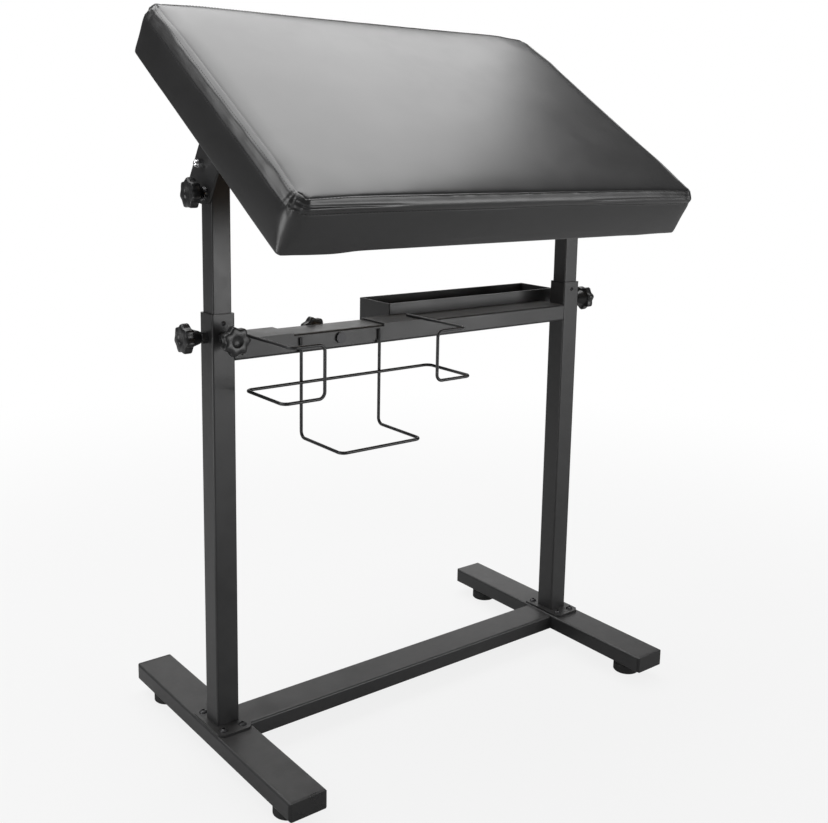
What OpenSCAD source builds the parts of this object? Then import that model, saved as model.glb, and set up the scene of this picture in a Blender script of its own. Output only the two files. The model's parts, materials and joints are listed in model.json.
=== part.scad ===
// Arm rest stand: a tilting cushion on two telescopic posts, with a bottle tray
// and a wire holder for a box of gloves on the rail between the posts.
// X runs along the cushion, -Y is the front with the low cushion edge, +Z is up.
// The origin is on the floor, under the middle of the outline.

/* [Base] */
// Distance between the centre lines of the two posts
post_span = 576; // [520:1:640]
// Length of each foot bar over its end caps
foot_len = 400; // [360:1:460]
// Width of the foot bars
foot_w = 50; // [50:1:58]
// Height of the foot bars
foot_h = 22; // [20:1:28]
// Width of the cross bar between the foot bars
cross_w = 50; // [40:1:60]
// Wall thickness of foot bars, cross bar and rail
bar_wall = 1.5; // [1.2:0.1:2]
// Corner radius of foot bars, cross bar and rail
bar_corner_r = 3; // [2.5:0.1:4]
// Thickness of the plastic end caps that shows
cap_t = 4; // [3:0.5:8]

/* [Levelling feet] */
// Diameter of the foot discs
disc_d = 37; // [30:1:46]
// Height of the foot discs
disc_h = 14; // [10:1:20]
// Height of the collar above each disc
collar_h = 2.5; // [1.5:0.5:5]
// Distance of the levelling feet from the ends of the foot bars
foot_inset = 43; // [30:1:60]
// Length of the threaded stem above the disc collar
stem_len = 18; // [14:1:19]

/* [Outer posts] */
// Outside width of the square outer posts
outer_w = 30; // [28:1:34]
// Length of the outer posts
outer_len = 511; // [470:1:560]
// Wall thickness of the posts
post_wall = 1.5; // [1.2:0.1:2]
// Corner radius of the outer posts
post_corner_r = 2.5; // [2.2:0.1:3.5]
// Thickness of the flange plates under the posts
flange_t = 3; // [2:0.5:5]
// Width of the flange plates
flange_w = 46; // [44:1:50]
// Depth of the flange plates, front to back
flange_l = 76; // [70:1:90]
// Corner cut of the flange plates
flange_cut = 6; // [3:1:7]

/* [Sliding posts] */
// Length of the square sliding posts
inner_len = 400; // [360:1:430]
// Height of the tilt pivot above the outer posts, as the stand is shown
pivot_rise = 172; // [150:1:200]
// Length of the guide bushes in the outer posts
bush_len = 40; // [36:1:60]
// Wall of the guide bushes
bush_wall = 0.8; // [0.6:0.1:1.2]
// Corner radius of the sliding posts
slide_corner_r = 2.2; // [2.1:0.1:3]

/* [Rail] */
// Depth of the rail, front to back
rail_w = 50; // [44:1:60]
// Height of the rail
rail_h = 24; // [22:1:28]
// Distance of the rail's top below the top of the outer posts
rail_drop = 33; // [30:1:60]

/* [Cushion] */
// How far the cushion reaches beyond each post's centre line
pad_side_reach = 24.5; // [20:0.5:50]
// Depth of the cushion
pad_d = 402; // [360:1:440]
// Thickness of the cushion at its edges
pad_t = 70; // [60:1:90]
// Height of the crown in the middle of the cushion
pad_crown = 6; // [3:1:10]
// Corner radius of the cushion seen from above
pad_corner_r = 20; // [18:1:30]
// Rounding of the cushion's top edge
pad_edge_r = 9; // [7:1:14]
// How far the long sides draw in between the corners
pad_draw = 2.5; // [1:0.5:5]
// Thickness of the plywood board
board_t = 12; // [9:1:15]
// Tilt of the cushion as the stand is shown, in degrees
pad_tilt = 33; // [20:1:40]

/* [Tilt mechanism] */
// Distance from the pivot to the underside of the cushion
pad_rise = 22; // [19:1:26]
// Distance of the cushion's middle behind the pivot, along the cushion
pad_shift = 5; // [0:1:12]
// Thickness of the tilt bracket plates
bracket_t = 3; // [2:0.5:4]
// Radius from the pivot to the middle of the lock slot
slot_r = 34; // [32:1:38]
// Radius of the bracket plate's lower edge
sector_r = 46; // [44:1:54]
// Lowest cushion angle that the slot allows, in degrees
tilt_low = -10; // [-14:1:0]
// Steepest cushion angle that the slot allows, in degrees
tilt_high = 50; // [44:1:52]

/* [Star knobs] */
// Diameter of the star knobs over the lobes
knob_d = 36; // [32:1:40]
// Thickness of the lobed head
knob_t = 11; // [9:1:14]
// Number of lobes
knob_lobes = 7; // [5:1:8]
// Length of the neck behind the lobed head on the height knobs
neck_len = 13; // [10:1:16]
// Length of the neck on the tilt knobs
short_neck_len = 7; // [6:1:10]
// Thread diameter of the knob studs
stud_d = 8; // [6:1:8]

/* [Bottle tray] */
// Distance of the tray's left end beyond the middle of the rail
tray_left_reach = 12; // [-30:1:30]
// Depth of the tray
tray_w = 70; // [60:1:90]
// Height of the tray's walls
tray_h = 43; // [36:1:60]
// Sheet thickness of the tray
tray_t = 1.5; // [1:0.1:2]
// Distance of the tray's right end beyond the right post's centre line
tray_reach = 12; // [0:1:14]

/* [Glove box holder] */
// Space for the glove box along X, between the upper arms
box_w = 252; // [240:1:256]
// Space for the glove box, front to back
box_d = 81; // [70:1:95]
// Height of the space under the top wires
box_h = 129; // [110:1:140]
// Diameter of the wire
wire_d = 4; // [3:0.5:5]
// Height of the side loop below the top wires
loop_drop = 63; // [45:1:75]
// Length of the wire hooks over the box's front, at each end
front_reach = 45; // [35:1:60]
// Width of the cradle under the box
cradle_w = 118; // [90:1:130]
// Distance of the holder's middle from the left post's centre line
holder_place = 162; // [160:1:175]
// Width of the hook plates over the rail
hook_w = 70; // [50:1:74]
// Sheet thickness of the hook plates
hook_t = 2; // [1.5:0.5:3]

/* [Hidden] */

// Colours of the finishes
steel_black = [0.11, 0.11, 0.115];
plastic_black = [0.06, 0.06, 0.065];
vinyl_black = [0.07, 0.07, 0.075];
bright_steel = [0.78, 0.79, 0.8];
plywood = [0.72, 0.56, 0.38];
foam_grey = [0.5, 0.5, 0.52];

// Clearances and one overrun for every cut
overrun = 1;
fit_gap = 0.1;
run_gap = 0.05;
seat_gap = 0.3;
round_fn = 48;

// Levels of the base
insert_flange_t = 1.5;
bar_z = disc_h + collar_h + insert_flange_t;
bar_top = bar_z + foot_h;
post_z = bar_top + flange_t;
outer_top = post_z + outer_len;
bush_rim_t = 2;
post_top = outer_top + bush_rim_t;

// Sliding posts, sized to run in the bushes
cavity_w = outer_w - 2 * post_wall;
cavity_r = post_corner_r - post_wall;
bush_w = cavity_w - 2 * fit_gap;
bush_bore_w = bush_w - 2 * bush_wall;
inner_w = bush_bore_w - 2 * fit_gap;
pivot_z = post_top + pivot_rise;
pivot_bolt_d = 6;
post_head = 7;
post_cap_t = 1.5;
inner_top = pivot_z + post_head;
inner_bottom = inner_top - inner_len;
shoe_t = 5;
shoe_plug = 16;

// Levelling feet
stem_d = 8;
collar_d = 16;
stem_in_disc = 8;
disc_edge_r = 3;
insert_d = 11;
insert_flange_d = 15;
insert_len = 9;

// Small fasteners
bolt_d = 6;
bolt_head_d = 10.5;
bolt_head_h = 3.3;
bolt_len = 12;
dome_share = 1.15;
socket_d = 4;
socket_depth = 2;
blind_nut_d = 9;
tray_nut_d = 7;
blind_nut_len = 9;
flange_bolt_edge_x = 10;
flange_bolt_edge_y = 11;
bush_screw_d = 3;
bush_screw_head_d = 6;
bush_screw_head_h = 1.6;
bush_screw_drop = 11;
clamp_drop = 28;
nut_flat = 13;
nut_h = 6.5;
hex_sides = 6;
hex_turn = 30;
stud_clear = 0.5;
tip_gap = 0.2;
stud_show = 2;

// Rail and tray
rail_top = post_top - rail_drop;
rail_z = rail_top - rail_h;
rail_front = -outer_w / 2;
rail_back = rail_front + rail_w;
rail_l = post_span - outer_w;
end_plate_t = 1.5;
tray_top_rise = 17;
tray_z = rail_top + tray_top_rise - tray_h;
tray_x1 = post_span / 2 + tray_reach;
tray_x0 = -tray_left_reach;
tray_l = tray_x1 - tray_x0;
tray_corner_r = 2.2;
tray_screw_d = 5;
tray_screw_head_d = 9.5;
tray_screw_head_h = 2.7;
tray_screw_len = 12;
tray_screw_place_shares = [0.16, 0.5, 0.84];
tray_screw_x1 = rail_l / 2;

// Tilt bracket, in the cushion's own directions from the pivot
strap_front = 78;
strap_back = 48;
strap_w = 30;
sector_front = 35;
sector_back = 17;
lock_slot_gap = 0.3;
slot_end_angle = 1;
spacer_t = 1.5;
spacer_d = 16;
washer_t = 1.6;
washer_d = 16;
sector_in = post_span / 2 + inner_w / 2 + spacer_t;
sector_out = sector_in + bracket_t;
bracket_screw_d = 4;
bracket_screw_head_d = 8;
bracket_screw_head_h = 2.6;
bracket_screw_len = 12;
bracket_screw_end = 9;
bracket_screw_step = 34;
pivot_head_flat = 10;
pivot_head_h = 4;
dome_flat = 10;
dome_hex_h = 6;
dome_r = 4.4;
lock_z = pivot_z - slot_r;

// Star knob shape
lobe_d_share = 0.27;
knob_core_share = 0.78;
neck_top_share = 0.62;
neck_base_share = 0.42;
knob_edge = 1.5;
knob_bore_share = 0.6;
cap_recess_share = 0.36;
cap_recess = 1;

// Glove box holder, seen from the posts' centre line
holder_x = -post_span / 2 + holder_place;
wire_r = wire_d / 2;
wire_bend = 8;
hook_flange = 18;
strap_h = 16;
arm_start = 28;
arm_x = box_w / 2 + wire_r;
loop_out = 10;
loop_x = arm_x + loop_out;
top_wire_z = rail_top + hook_t + wire_r;
strap_front_y = rail_front - hook_t;
cradle_y = strap_front_y - wire_r;
loop_y = cradle_y - wire_d;
front_wire_y = loop_y - box_d - wire_d;
loop_z = top_wire_z - loop_drop;
cradle_z = top_wire_z - wire_d - box_h;
cradle_top = rail_top - hook_flange + strap_h - wire_r;
clamp_bolt_z = rail_top - hook_flange + strap_h / 2;
clamp_head_d = 14;
clamp_head_h = 3;

// Cushion form: rings of points around the cushion, from the hem to the crown
pad_w = post_span + 2 * pad_side_reach;
foam_margin = 10;
foam_top_gap = 8;
foam_h = pad_t - board_t - foam_top_gap;
board_hem = 11;
pocket_r = pad_corner_r - board_hem;
corner_steps = 6;
side_steps = 9;
edge_steps = 4;
hem_in = 3;
lower_in = 1;
lower_share = 0.1;
belly_share = 0.45;
crown_shares = [0.95, 0.85, 0.7, 0.5, 0.25];
crown_power = 2.4;

function polar(r, a) = r * [cos(a), sin(a)];

// Place on a straight side, drawn in between its corners
function side_point(a, b, share, out, draw) = a + (b - a) * share - out * draw * sin(180 * share);

// One outline at an inset, drawn in along its sides
function outline(inset, draw) = let (
    r = max(pad_corner_r - inset, pad_corner_r / corner_steps),
    x = pad_w / 2 - inset - r,
    y = pad_d / 2 - inset - r,
    centres = [[x, y], [-x, y], [-x, -y], [x, -y]])
  [for (c = [0:3]) let (
      here = centres[c],
      next = centres[(c + 1) % 4],
      turn = 90 * c,
      out = [cos(turn + 90), sin(turn + 90)])
    each concat(
      [for (i = [0:corner_steps]) here + polar(r, turn + 90 * i / corner_steps)],
      [for (i = [1:side_steps])
        side_point(here + r * out, next + r * out, i / (side_steps + 1), out, draw)])];

function lift(points, h) = [for (p = points) [p[0], p[1], h]];

// Height of the crown over a place on the top
function crown(x, y) = pad_crown
  * (1 - pow(min(1, abs(x) / (pad_w / 2 - pad_edge_r)), crown_power))
  * (1 - pow(min(1, abs(y) / (pad_d / 2 - pad_edge_r)), crown_power));

top_outline = outline(pad_edge_r, pad_draw / 2);
cushion_rings = concat(
  [lift(outline(hem_in, 0), 0)],
  [lift(outline(lower_in, pad_draw / 2), pad_t * lower_share)],
  [lift(outline(0, pad_draw), pad_t * belly_share)],
  [for (i = [0:edge_steps]) let (a = 90 * i / edge_steps)
    lift(outline(pad_edge_r * (1 - cos(a)), pad_draw * (1 - i / edge_steps / 2)),
      pad_t - pad_edge_r * (1 - sin(a)))],
  [for (s = crown_shares) [for (p = top_outline) [p[0] * s, p[1] * s, pad_t + crown(p[0] * s, p[1] * s)]]]);
ring_n = len(cushion_rings[0]);
ring_count = len(cushion_rings);
cushion_points = concat([for (ring = cushion_rings) each ring], [[0, 0, 0], [0, 0, pad_t + pad_crown]]);
bottom_mid = ring_n * ring_count;
top_mid = bottom_mid + 1;
cushion_faces = concat(
  [for (k = [0:ring_count - 2], i = [0:ring_n - 1]) let (j = (i + 1) % ring_n, a = k * ring_n, b = a + ring_n)
    each [[a + j, a + i, b + i], [a + j, b + i, b + j]]],
  [for (i = [0:ring_n - 1]) [bottom_mid, i, (i + 1) % ring_n]],
  [for (i = [0:ring_n - 1]) let (a = (ring_count - 1) * ring_n) [top_mid, a + (i + 1) % ring_n, a + i]]);

// The posts stand so that the origin is under the middle of the outline
cushion_front = min([for (p = cushion_points)
  (p[1] + pad_shift) * cos(pad_tilt) - (p[2] + pad_rise) * sin(pad_tilt)]);
posts_y = -(cushion_front + foot_len / 2) / 2;

module at_post(side) {
  translate([side * post_span / 2, posts_y, 0]) children();
}

// Cushion directions: Y along the cushion's depth, Z square to it, from the pivot
module on_tilt(side = 0) {
  translate([side * post_span / 2, posts_y, pivot_z]) rotate([pad_tilt, 0, 0]) children();
}

module box_at(x0, x1, y0, y1, z0, z1) {
  translate([x0, y0, z0]) cube([x1 - x0, y1 - y0, z1 - z0]);
}

// Upright square bar with round corners
module square_bar(w, len, r) {
  linear_extrude(len) round_plan(w, w, r);
}

// Flat bar along Y with round corners, its underside at Z = 0
module flat_bar(w, h, len, r) {
  translate([0, len / 2, h / 2]) rotate([90, 0, 0]) linear_extrude(len) round_plan(w, h, r);
}

// Flat tube along Y
module flat_tube(w, h, len) {
  difference() {
    flat_bar(w, h, len, bar_corner_r);
    translate([0, 0, bar_wall])
      flat_bar(w - 2 * bar_wall, h - 2 * bar_wall, len + 2 * overrun, bar_corner_r - bar_wall);
  }
}

module hex_bar(flat, h) {
  rotate([0, 0, hex_turn]) cylinder(d = flat / cos(hex_turn), h = h, $fn = hex_sides);
}

// Outline with four round corners
module round_plan(w, l, r) {
  square([w - 2 * r, l], center = true);
  square([w, l - 2 * r], center = true);
  for (x = [-1, 1], y = [-1, 1]) translate([x * (w / 2 - r), y * (l / 2 - r)]) circle(r = r, $fn = round_fn);
}

// Turns a piece that is drawn along +Z so that it points along an axis
module along_x(side) {
  rotate([0, side * 90, 0]) children();
}

module along_front() {
  rotate([90, 0, 0]) children();
}

module along_back() {
  rotate([-90, 0, 0]) children();
}

// Places of the bolts in a flange plate
module flange_bolt_places() {
  for (x = [-1, 1], y = [-1, 1])
    translate([x * (flange_w / 2 - flange_bolt_edge_x), y * (flange_l / 2 - flange_bolt_edge_y), 0])
      children();
}

// Foot bar: flat tube with holes for the flange bolts and the thread inserts
module foot_bar(side) {
  len = foot_len - 2 * cap_t;
  color(steel_black) at_post(side) difference() {
    translate([0, 0, bar_z]) flat_tube(foot_w, foot_h, len);
    translate([0, 0, bar_top - bar_wall - overrun]) flange_bolt_places()
      cylinder(d = blind_nut_d + 2 * fit_gap, h = bar_wall + 2 * overrun, $fn = round_fn);
    for (end = [-1, 1]) translate([0, end * (foot_len / 2 - foot_inset), bar_z - overrun])
      cylinder(d = insert_d + 2 * fit_gap, h = bar_wall + 2 * overrun, $fn = round_fn);
  }
}

// End cap: a plate with rounded corners and a plug that fits the tube
module foot_bar_end_caps() {
  plug_l = 18;
  corner_r = 3.5;
  plug_in = bar_wall + fit_gap;
  color(plastic_black) for (side = [-1, 1], end = [-1, 1])
    at_post(side) translate([0, end * foot_len / 2, bar_z]) mirror([0, end > 0 ? 1 : 0, 0]) {
      intersection() {
        linear_extrude(foot_h) translate([0, foot_w / 2]) round_plan(foot_w, foot_w, corner_r);
        translate([0, cap_t / 2, 0]) flat_bar(foot_w, foot_h, cap_t, bar_corner_r);
      }
      difference() {
        translate([0, (cap_t + plug_l) / 2, plug_in])
          flat_bar(foot_w - 2 * plug_in, foot_h - 2 * plug_in, plug_l, bar_corner_r - bar_wall);
        translate([0, cap_t + plug_l, 2 * plug_in])
          flat_bar(foot_w - 4 * plug_in, foot_h - 4 * plug_in, 2 * (plug_l - cap_t), bar_corner_r - bar_wall);
      }
    }
}

// Cross bar: the same flat tube, butted between the foot bars
module cross_bar() {
  color(steel_black) translate([0, posts_y, bar_z]) rotate([0, 0, 90])
    flat_tube(cross_w, foot_h, post_span - foot_w);
}

module flange_plate(side) {
  hw = flange_w / 2;
  hl = flange_l / 2;
  c = flange_cut;
  color(steel_black) at_post(side) translate([0, 0, bar_top]) difference() {
    linear_extrude(flange_t) polygon([[-hw + c, -hl], [hw - c, -hl], [hw, -hl + c], [hw, hl - c],
      [hw - c, hl], [-hw + c, hl], [-hw, hl - c], [-hw, -hl + c]]);
    translate([0, 0, -overrun]) flange_bolt_places()
      cylinder(d = bolt_d + 2 * fit_gap, h = flange_t + 2 * overrun, $fn = round_fn);
  }
}

// Button head screw along -Z, with its head on top of the plane Z = 0
module button_screw(d, head_d, head_h, len) {
  socket = socket_d * d / bolt_d;
  difference() {
    union() {
      intersection() {
        cylinder(d = head_d, h = head_h, $fn = round_fn);
        translate([0, 0, head_h - head_d / 2 * dome_share])
          sphere(r = head_d / 2 * dome_share, $fn = round_fn);
      }
      translate([0, 0, -len]) cylinder(d = d, h = len + head_h / 2, $fn = round_fn);
    }
    translate([0, 0, head_h - socket_depth * d / bolt_d]) hex_bar(socket, head_h);
  }
}

module flange_bolts() {
  color(steel_black) for (side = [-1, 1]) at_post(side) translate([0, 0, post_z]) flange_bolt_places()
    button_screw(bolt_d, bolt_head_d, bolt_head_h, bolt_len);
}

// Blind thread insert that hangs under a wall's outer face at Z = 0
module blind_nut(d, bore) {
  difference() {
    translate([0, 0, -blind_nut_len]) cylinder(d = d, h = blind_nut_len, $fn = round_fn);
    translate([0, 0, -blind_nut_len - overrun])
      cylinder(d = bore + 2 * run_gap, h = blind_nut_len + 2 * overrun, $fn = round_fn);
  }
}

module flange_thread_inserts() {
  color(bright_steel) for (side = [-1, 1]) at_post(side) translate([0, 0, bar_top]) flange_bolt_places()
    blind_nut(blind_nut_d, bolt_d);
}

// Flanged thread inserts in the underside of the foot bars
module foot_thread_inserts() {
  color(bright_steel) for (side = [-1, 1], end = [-1, 1])
    at_post(side) translate([0, end * (foot_len / 2 - foot_inset), bar_z]) difference() {
      union() {
        translate([0, 0, -insert_flange_t])
          cylinder(d = insert_flange_d, h = insert_flange_t, $fn = round_fn);
        cylinder(d = insert_d, h = insert_len, $fn = round_fn);
      }
      translate([0, 0, -insert_flange_t - overrun])
        cylinder(d = stem_d + 2 * run_gap, h = insert_len + insert_flange_t + 2 * overrun, $fn = round_fn);
    }
}

// Hole for a clamp stud through one wall of a tube, along an axis
module clamp_hole(d, from, depth) {
  translate([0, 0, from - overrun]) cylinder(d = d, h = depth + 2 * overrun, $fn = round_fn);
}

clamp_z = post_top - clamp_drop;

// Outer post: square tube with holes for the clamp studs and the bush screw
module outer_post(side) {
  color(steel_black) at_post(side) difference() {
    translate([0, 0, post_z]) square_bar(outer_w, outer_len, post_corner_r);
    translate([0, 0, post_z - overrun]) square_bar(cavity_w, outer_len + 2 * overrun, cavity_r);
    translate([0, 0, clamp_z]) {
      along_x(side) clamp_hole(stud_d + 2 * stud_clear, cavity_w / 2, post_wall);
      if (side < 0) along_front() clamp_hole(stud_d + 2 * stud_clear, cavity_w / 2, post_wall);
    }
    translate([0, 0, post_top - bush_screw_drop]) along_front()
      clamp_hole(bush_screw_d + 2 * fit_gap, cavity_w / 2, post_wall);
  }
}

// Guide bush: a plastic sleeve with a rim that rests on the tube
module guide_bush(side) {
  color(plastic_black) at_post(side) difference() {
    union() {
      translate([0, 0, outer_top - bush_len]) square_bar(bush_w, bush_len + bush_rim_t, cavity_r);
      translate([0, 0, outer_top]) square_bar(outer_w, bush_rim_t, post_corner_r);
    }
    translate([0, 0, outer_top - bush_len - overrun])
      square_bar(bush_bore_w, bush_len + bush_rim_t + 2 * overrun, slide_corner_r);
    translate([0, 0, clamp_z]) {
      along_x(side) clamp_hole(stud_d + 2 * stud_clear, bush_bore_w / 2, bush_wall);
      if (side < 0) along_front() clamp_hole(stud_d + 2 * stud_clear, bush_bore_w / 2, bush_wall);
    }
    translate([0, 0, post_top - bush_screw_drop]) along_front()
      clamp_hole(bush_screw_d + 2 * fit_gap, bush_bore_w / 2, bush_wall);
  }
}

module guide_bush_screws() {
  color(steel_black) for (side = [-1, 1]) at_post(side)
    translate([0, -outer_w / 2, post_top - bush_screw_drop]) along_front()
      button_screw(bush_screw_d, bush_screw_head_d, bush_screw_head_h, post_wall + fit_gap + bush_wall);
}

// Weld nuts that the clamp studs turn in
module clamp_weld_nut() {
  difference() {
    hex_bar(nut_flat, nut_h);
    translate([0, 0, -overrun]) cylinder(d = stud_d + 2 * run_gap, h = nut_h + 2 * overrun, $fn = round_fn);
  }
}

module clamp_weld_nuts() {
  color(steel_black) for (side = [-1, 1]) at_post(side) translate([0, 0, clamp_z]) {
    along_x(side) translate([0, 0, outer_w / 2]) clamp_weld_nut();
    if (side < 0) along_front() translate([0, 0, outer_w / 2]) clamp_weld_nut();
  }
}

// Places of the tray screws along the rail
module tray_screw_places() {
  for (share = tray_screw_place_shares)
    translate([tray_x0 + (tray_screw_x1 - tray_x0) * share, posts_y + rail_back, rail_z + rail_h / 2])
      children();
}

// Rail: a flat tube between the posts, flush with their front
module upper_rail() {
  color(steel_black) difference() {
    translate([0, posts_y + (rail_front + rail_back) / 2, rail_z]) rotate([0, 0, 90])
      flat_tube(rail_w, rail_h, rail_l - 2 * end_plate_t);
    tray_screw_places() along_back() clamp_hole(tray_nut_d + 2 * fit_gap, -bar_wall, bar_wall);
    translate([holder_x, posts_y + rail_front, clamp_bolt_z]) along_back()
      clamp_hole(stud_d + 2 * fit_gap, 0, rail_w);
  }
}

module rail_end_plates() {
  color(steel_black) for (side = [-1, 1])
    translate([side * (rail_l - end_plate_t) / 2, posts_y + (rail_front + rail_back) / 2, rail_z])
      rotate([0, 0, 90]) flat_bar(rail_w, rail_h, end_plate_t, bar_corner_r);
}

// Bottle tray: an open folded box behind the rail
module bottle_tray() {
  inner_r = tray_corner_r - tray_t;
  color(steel_black) difference() {
    translate([(tray_x0 + tray_x1) / 2, posts_y + rail_back + tray_w / 2, tray_z]) difference() {
      linear_extrude(tray_h) round_plan(tray_l, tray_w, tray_corner_r);
      translate([0, 0, tray_t]) linear_extrude(tray_h)
        round_plan(tray_l - 2 * tray_t, tray_w - 2 * tray_t, inner_r);
    }
    tray_screw_places() along_back() clamp_hole(tray_screw_d + 2 * fit_gap, 0, tray_t);
  }
}

module tray_screws() {
  color(bright_steel) tray_screw_places() along_back() translate([0, 0, tray_t])
    button_screw(tray_screw_d, tray_screw_head_d, tray_screw_head_h, tray_screw_len);
}

module tray_thread_inserts() {
  color(bright_steel) tray_screw_places() along_back() blind_nut(tray_nut_d, tray_screw_d);
}

// Hook plate: sheet folded over the rail's top and down its front
module holder_hook(side) {
  x0 = holder_x + (side < 0 ? -loop_x : loop_x - hook_w);
  color(steel_black) translate([0, posts_y, 0]) {
    box_at(x0, x0 + hook_w, strap_front_y, rail_back - seat_gap, rail_top, rail_top + hook_t);
    box_at(x0, x0 + hook_w, strap_front_y, rail_front, rail_top - hook_flange, rail_top + hook_t);
  }
}

// Flat strap on the rail's front between the two hook plates
module holder_back_strap() {
  half = loop_x - hook_w;
  color(steel_black) translate([holder_x, posts_y, 0]) difference() {
    box_at(-half, half, strap_front_y, rail_front, rail_top - hook_flange, rail_top - hook_flange + strap_h);
    translate([0, strap_front_y, clamp_bolt_z]) along_back() clamp_hole(stud_d + 2 * fit_gap, 0, hook_t);
  }
}

// Straight piece of wire between two places on a line along one axis
module wire_run(a, b) {
  d = (b - a) / norm(b - a);
  u = [d[1], d[2], d[0]];
  v = cross(d, u);
  multmatrix([[u[0], v[0], d[0], a[0]], [u[1], v[1], d[1], a[1]], [u[2], v[2], d[2], a[2]], [0, 0, 0, 1]])
    cylinder(r = wire_r, h = norm(b - a), $fn = round_fn);
}

// Quarter bend at a corner, from the direction d1 into the direction d2
module wire_corner(p, d1, d2) {
  c = p + (d2 - d1) * wire_bend;
  z = cross(d1, d2);
  multmatrix([
    [-d2[0], d1[0], z[0], c[0]],
    [-d2[1], d1[1], z[1], c[1]],
    [-d2[2], d1[2], z[2], c[2]],
    [0, 0, 0, 1]])
    rotate_extrude(angle = 90, $fn = round_fn) translate([wire_bend, 0]) circle(r = wire_r, $fn = round_fn);
}

// Wire bent square at every corner of a path whose runs follow the axes
module bent_wire(path) {
  last = len(path) - 1;
  dirs = [for (i = [0:last - 1]) (path[i + 1] - path[i]) / norm(path[i + 1] - path[i])];
  for (i = [0:last - 1]) wire_run(path[i] + dirs[i] * (i == 0 ? 0 : wire_bend),
    path[i + 1] - dirs[i] * (i == last - 1 ? 0 : wire_bend));
  for (i = [1:last - 1]) wire_corner(path[i], dirs[i - 1], dirs[i]);
}

// One wire: over the box's top edge, down its front, round its end and behind it
module holder_wire_loop() {
  front_x = arm_x - front_reach;
  color(steel_black) translate([holder_x, posts_y, 0]) bent_wire([
    [-arm_x, rail_front + arm_start, top_wire_z],
    [-arm_x, front_wire_y, top_wire_z],
    [-front_x, front_wire_y, top_wire_z],
    [-front_x, front_wire_y, loop_z],
    [-loop_x, front_wire_y, loop_z],
    [-loop_x, loop_y, loop_z],
    [loop_x, loop_y, loop_z],
    [loop_x, front_wire_y, loop_z],
    [front_x, front_wire_y, loop_z],
    [front_x, front_wire_y, top_wire_z],
    [arm_x, front_wire_y, top_wire_z],
    [arm_x, rail_front + arm_start, top_wire_z]]);
}

// Cradle wire: down from the strap, under the box and along its front edge
module holder_wire_cradle() {
  x = cradle_w / 2;
  color(steel_black) translate([holder_x, posts_y, 0]) bent_wire([
    [-x, cradle_y, cradle_top],
    [-x, cradle_y, cradle_z],
    [-x, front_wire_y, cradle_z],
    [x, front_wire_y, cradle_z],
    [x, cradle_y, cradle_z],
    [x, cradle_y, cradle_top]]);
}

// Clamp bolt through the strap and the rail, with a low round head
module holder_clamp_bolt() {
  reach = hook_t + rail_w + knob_bore_share * (short_neck_len + knob_t);
  color(steel_black) translate([holder_x, posts_y + strap_front_y, clamp_bolt_z]) along_back() {
    translate([0, 0, -clamp_head_h]) cylinder(d = clamp_head_d, h = clamp_head_h, $fn = round_fn);
    cylinder(d = stud_d, h = reach, $fn = round_fn);
  }
}

// Sliding post: square tube with the pivot holes and the lock insert's hole
module sliding_post(side) {
  color(steel_black) at_post(side) difference() {
    translate([0, 0, inner_bottom]) square_bar(inner_w, inner_len, slide_corner_r);
    translate([0, 0, inner_bottom - overrun])
      square_bar(inner_w - 2 * post_wall, inner_len + 2 * overrun, slide_corner_r - post_wall);
    translate([0, 0, pivot_z]) along_x(side) clamp_hole(pivot_bolt_d + 2 * fit_gap, -inner_w / 2, inner_w);
    translate([0, 0, lock_z]) along_x(side)
      clamp_hole(insert_d + 2 * fit_gap, inner_w / 2 - post_wall, post_wall);
  }
}

// Plastic caps that close the tops of the sliding posts
module sliding_post_caps() {
  plug = 2.5;
  color(plastic_black) for (side = [-1, 1]) at_post(side) translate([0, 0, inner_top]) {
    square_bar(inner_w, post_cap_t, slide_corner_r);
    translate([0, 0, -plug])
      square_bar(inner_w - 2 * post_wall - 2 * fit_gap, plug + post_cap_t / 2, slide_corner_r - post_wall);
  }
}

// Plastic shoes that guide the lower ends of the sliding posts
module sliding_post_shoes() {
  color(plastic_black) for (side = [-1, 1]) at_post(side) translate([0, 0, inner_bottom]) {
    translate([0, 0, -shoe_t]) square_bar(cavity_w - 2 * fit_gap, shoe_t, cavity_r);
    translate([0, 0, -shoe_t / 2])
      square_bar(inner_w - 2 * post_wall - 2 * fit_gap, shoe_plug + shoe_t / 2, slide_corner_r - post_wall);
  }
}

pivot_reach = inner_w + spacer_t + bracket_t + dome_hex_h;

// Hexagon bolts through the posts and the bracket plates
module pivot_bolts() {
  color(bright_steel) for (side = [-1, 1]) at_post(side) translate([0, 0, pivot_z]) along_x(side)
    translate([0, 0, -inner_w / 2]) {
      translate([0, 0, -pivot_head_h]) hex_bar(pivot_head_flat, pivot_head_h);
      translate([0, 0, -pivot_head_h / 2])
        cylinder(d = pivot_bolt_d, h = pivot_reach + pivot_head_h / 2, $fn = round_fn);
    }
}

// Dome nuts on the outer ends of the pivot bolts
module pivot_dome_nuts() {
  color(bright_steel) for (side = [-1, 1]) at_post(side) translate([0, 0, pivot_z]) along_x(side)
    translate([0, 0, sector_out - post_span / 2 + run_gap]) difference() {
      union() {
        hex_bar(dome_flat, dome_hex_h);
        translate([0, 0, dome_hex_h]) sphere(r = dome_r, $fn = round_fn);
      }
      translate([0, 0, -overrun])
        cylinder(d = pivot_bolt_d + 2 * run_gap, h = dome_hex_h + 2 * overrun, $fn = round_fn);
    }
}

// Plastic spacers between the posts and the bracket plates
module pivot_spacers() {
  color(plastic_black) for (side = [-1, 1]) at_post(side) translate([0, 0, pivot_z]) along_x(side)
    translate([0, 0, inner_w / 2]) difference() {
      cylinder(d = spacer_d, h = spacer_t - run_gap, $fn = round_fn);
      translate([0, 0, -overrun])
        cylinder(d = pivot_bolt_d + 2 * fit_gap, h = spacer_t + 2 * overrun, $fn = round_fn);
    }
}

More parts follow.
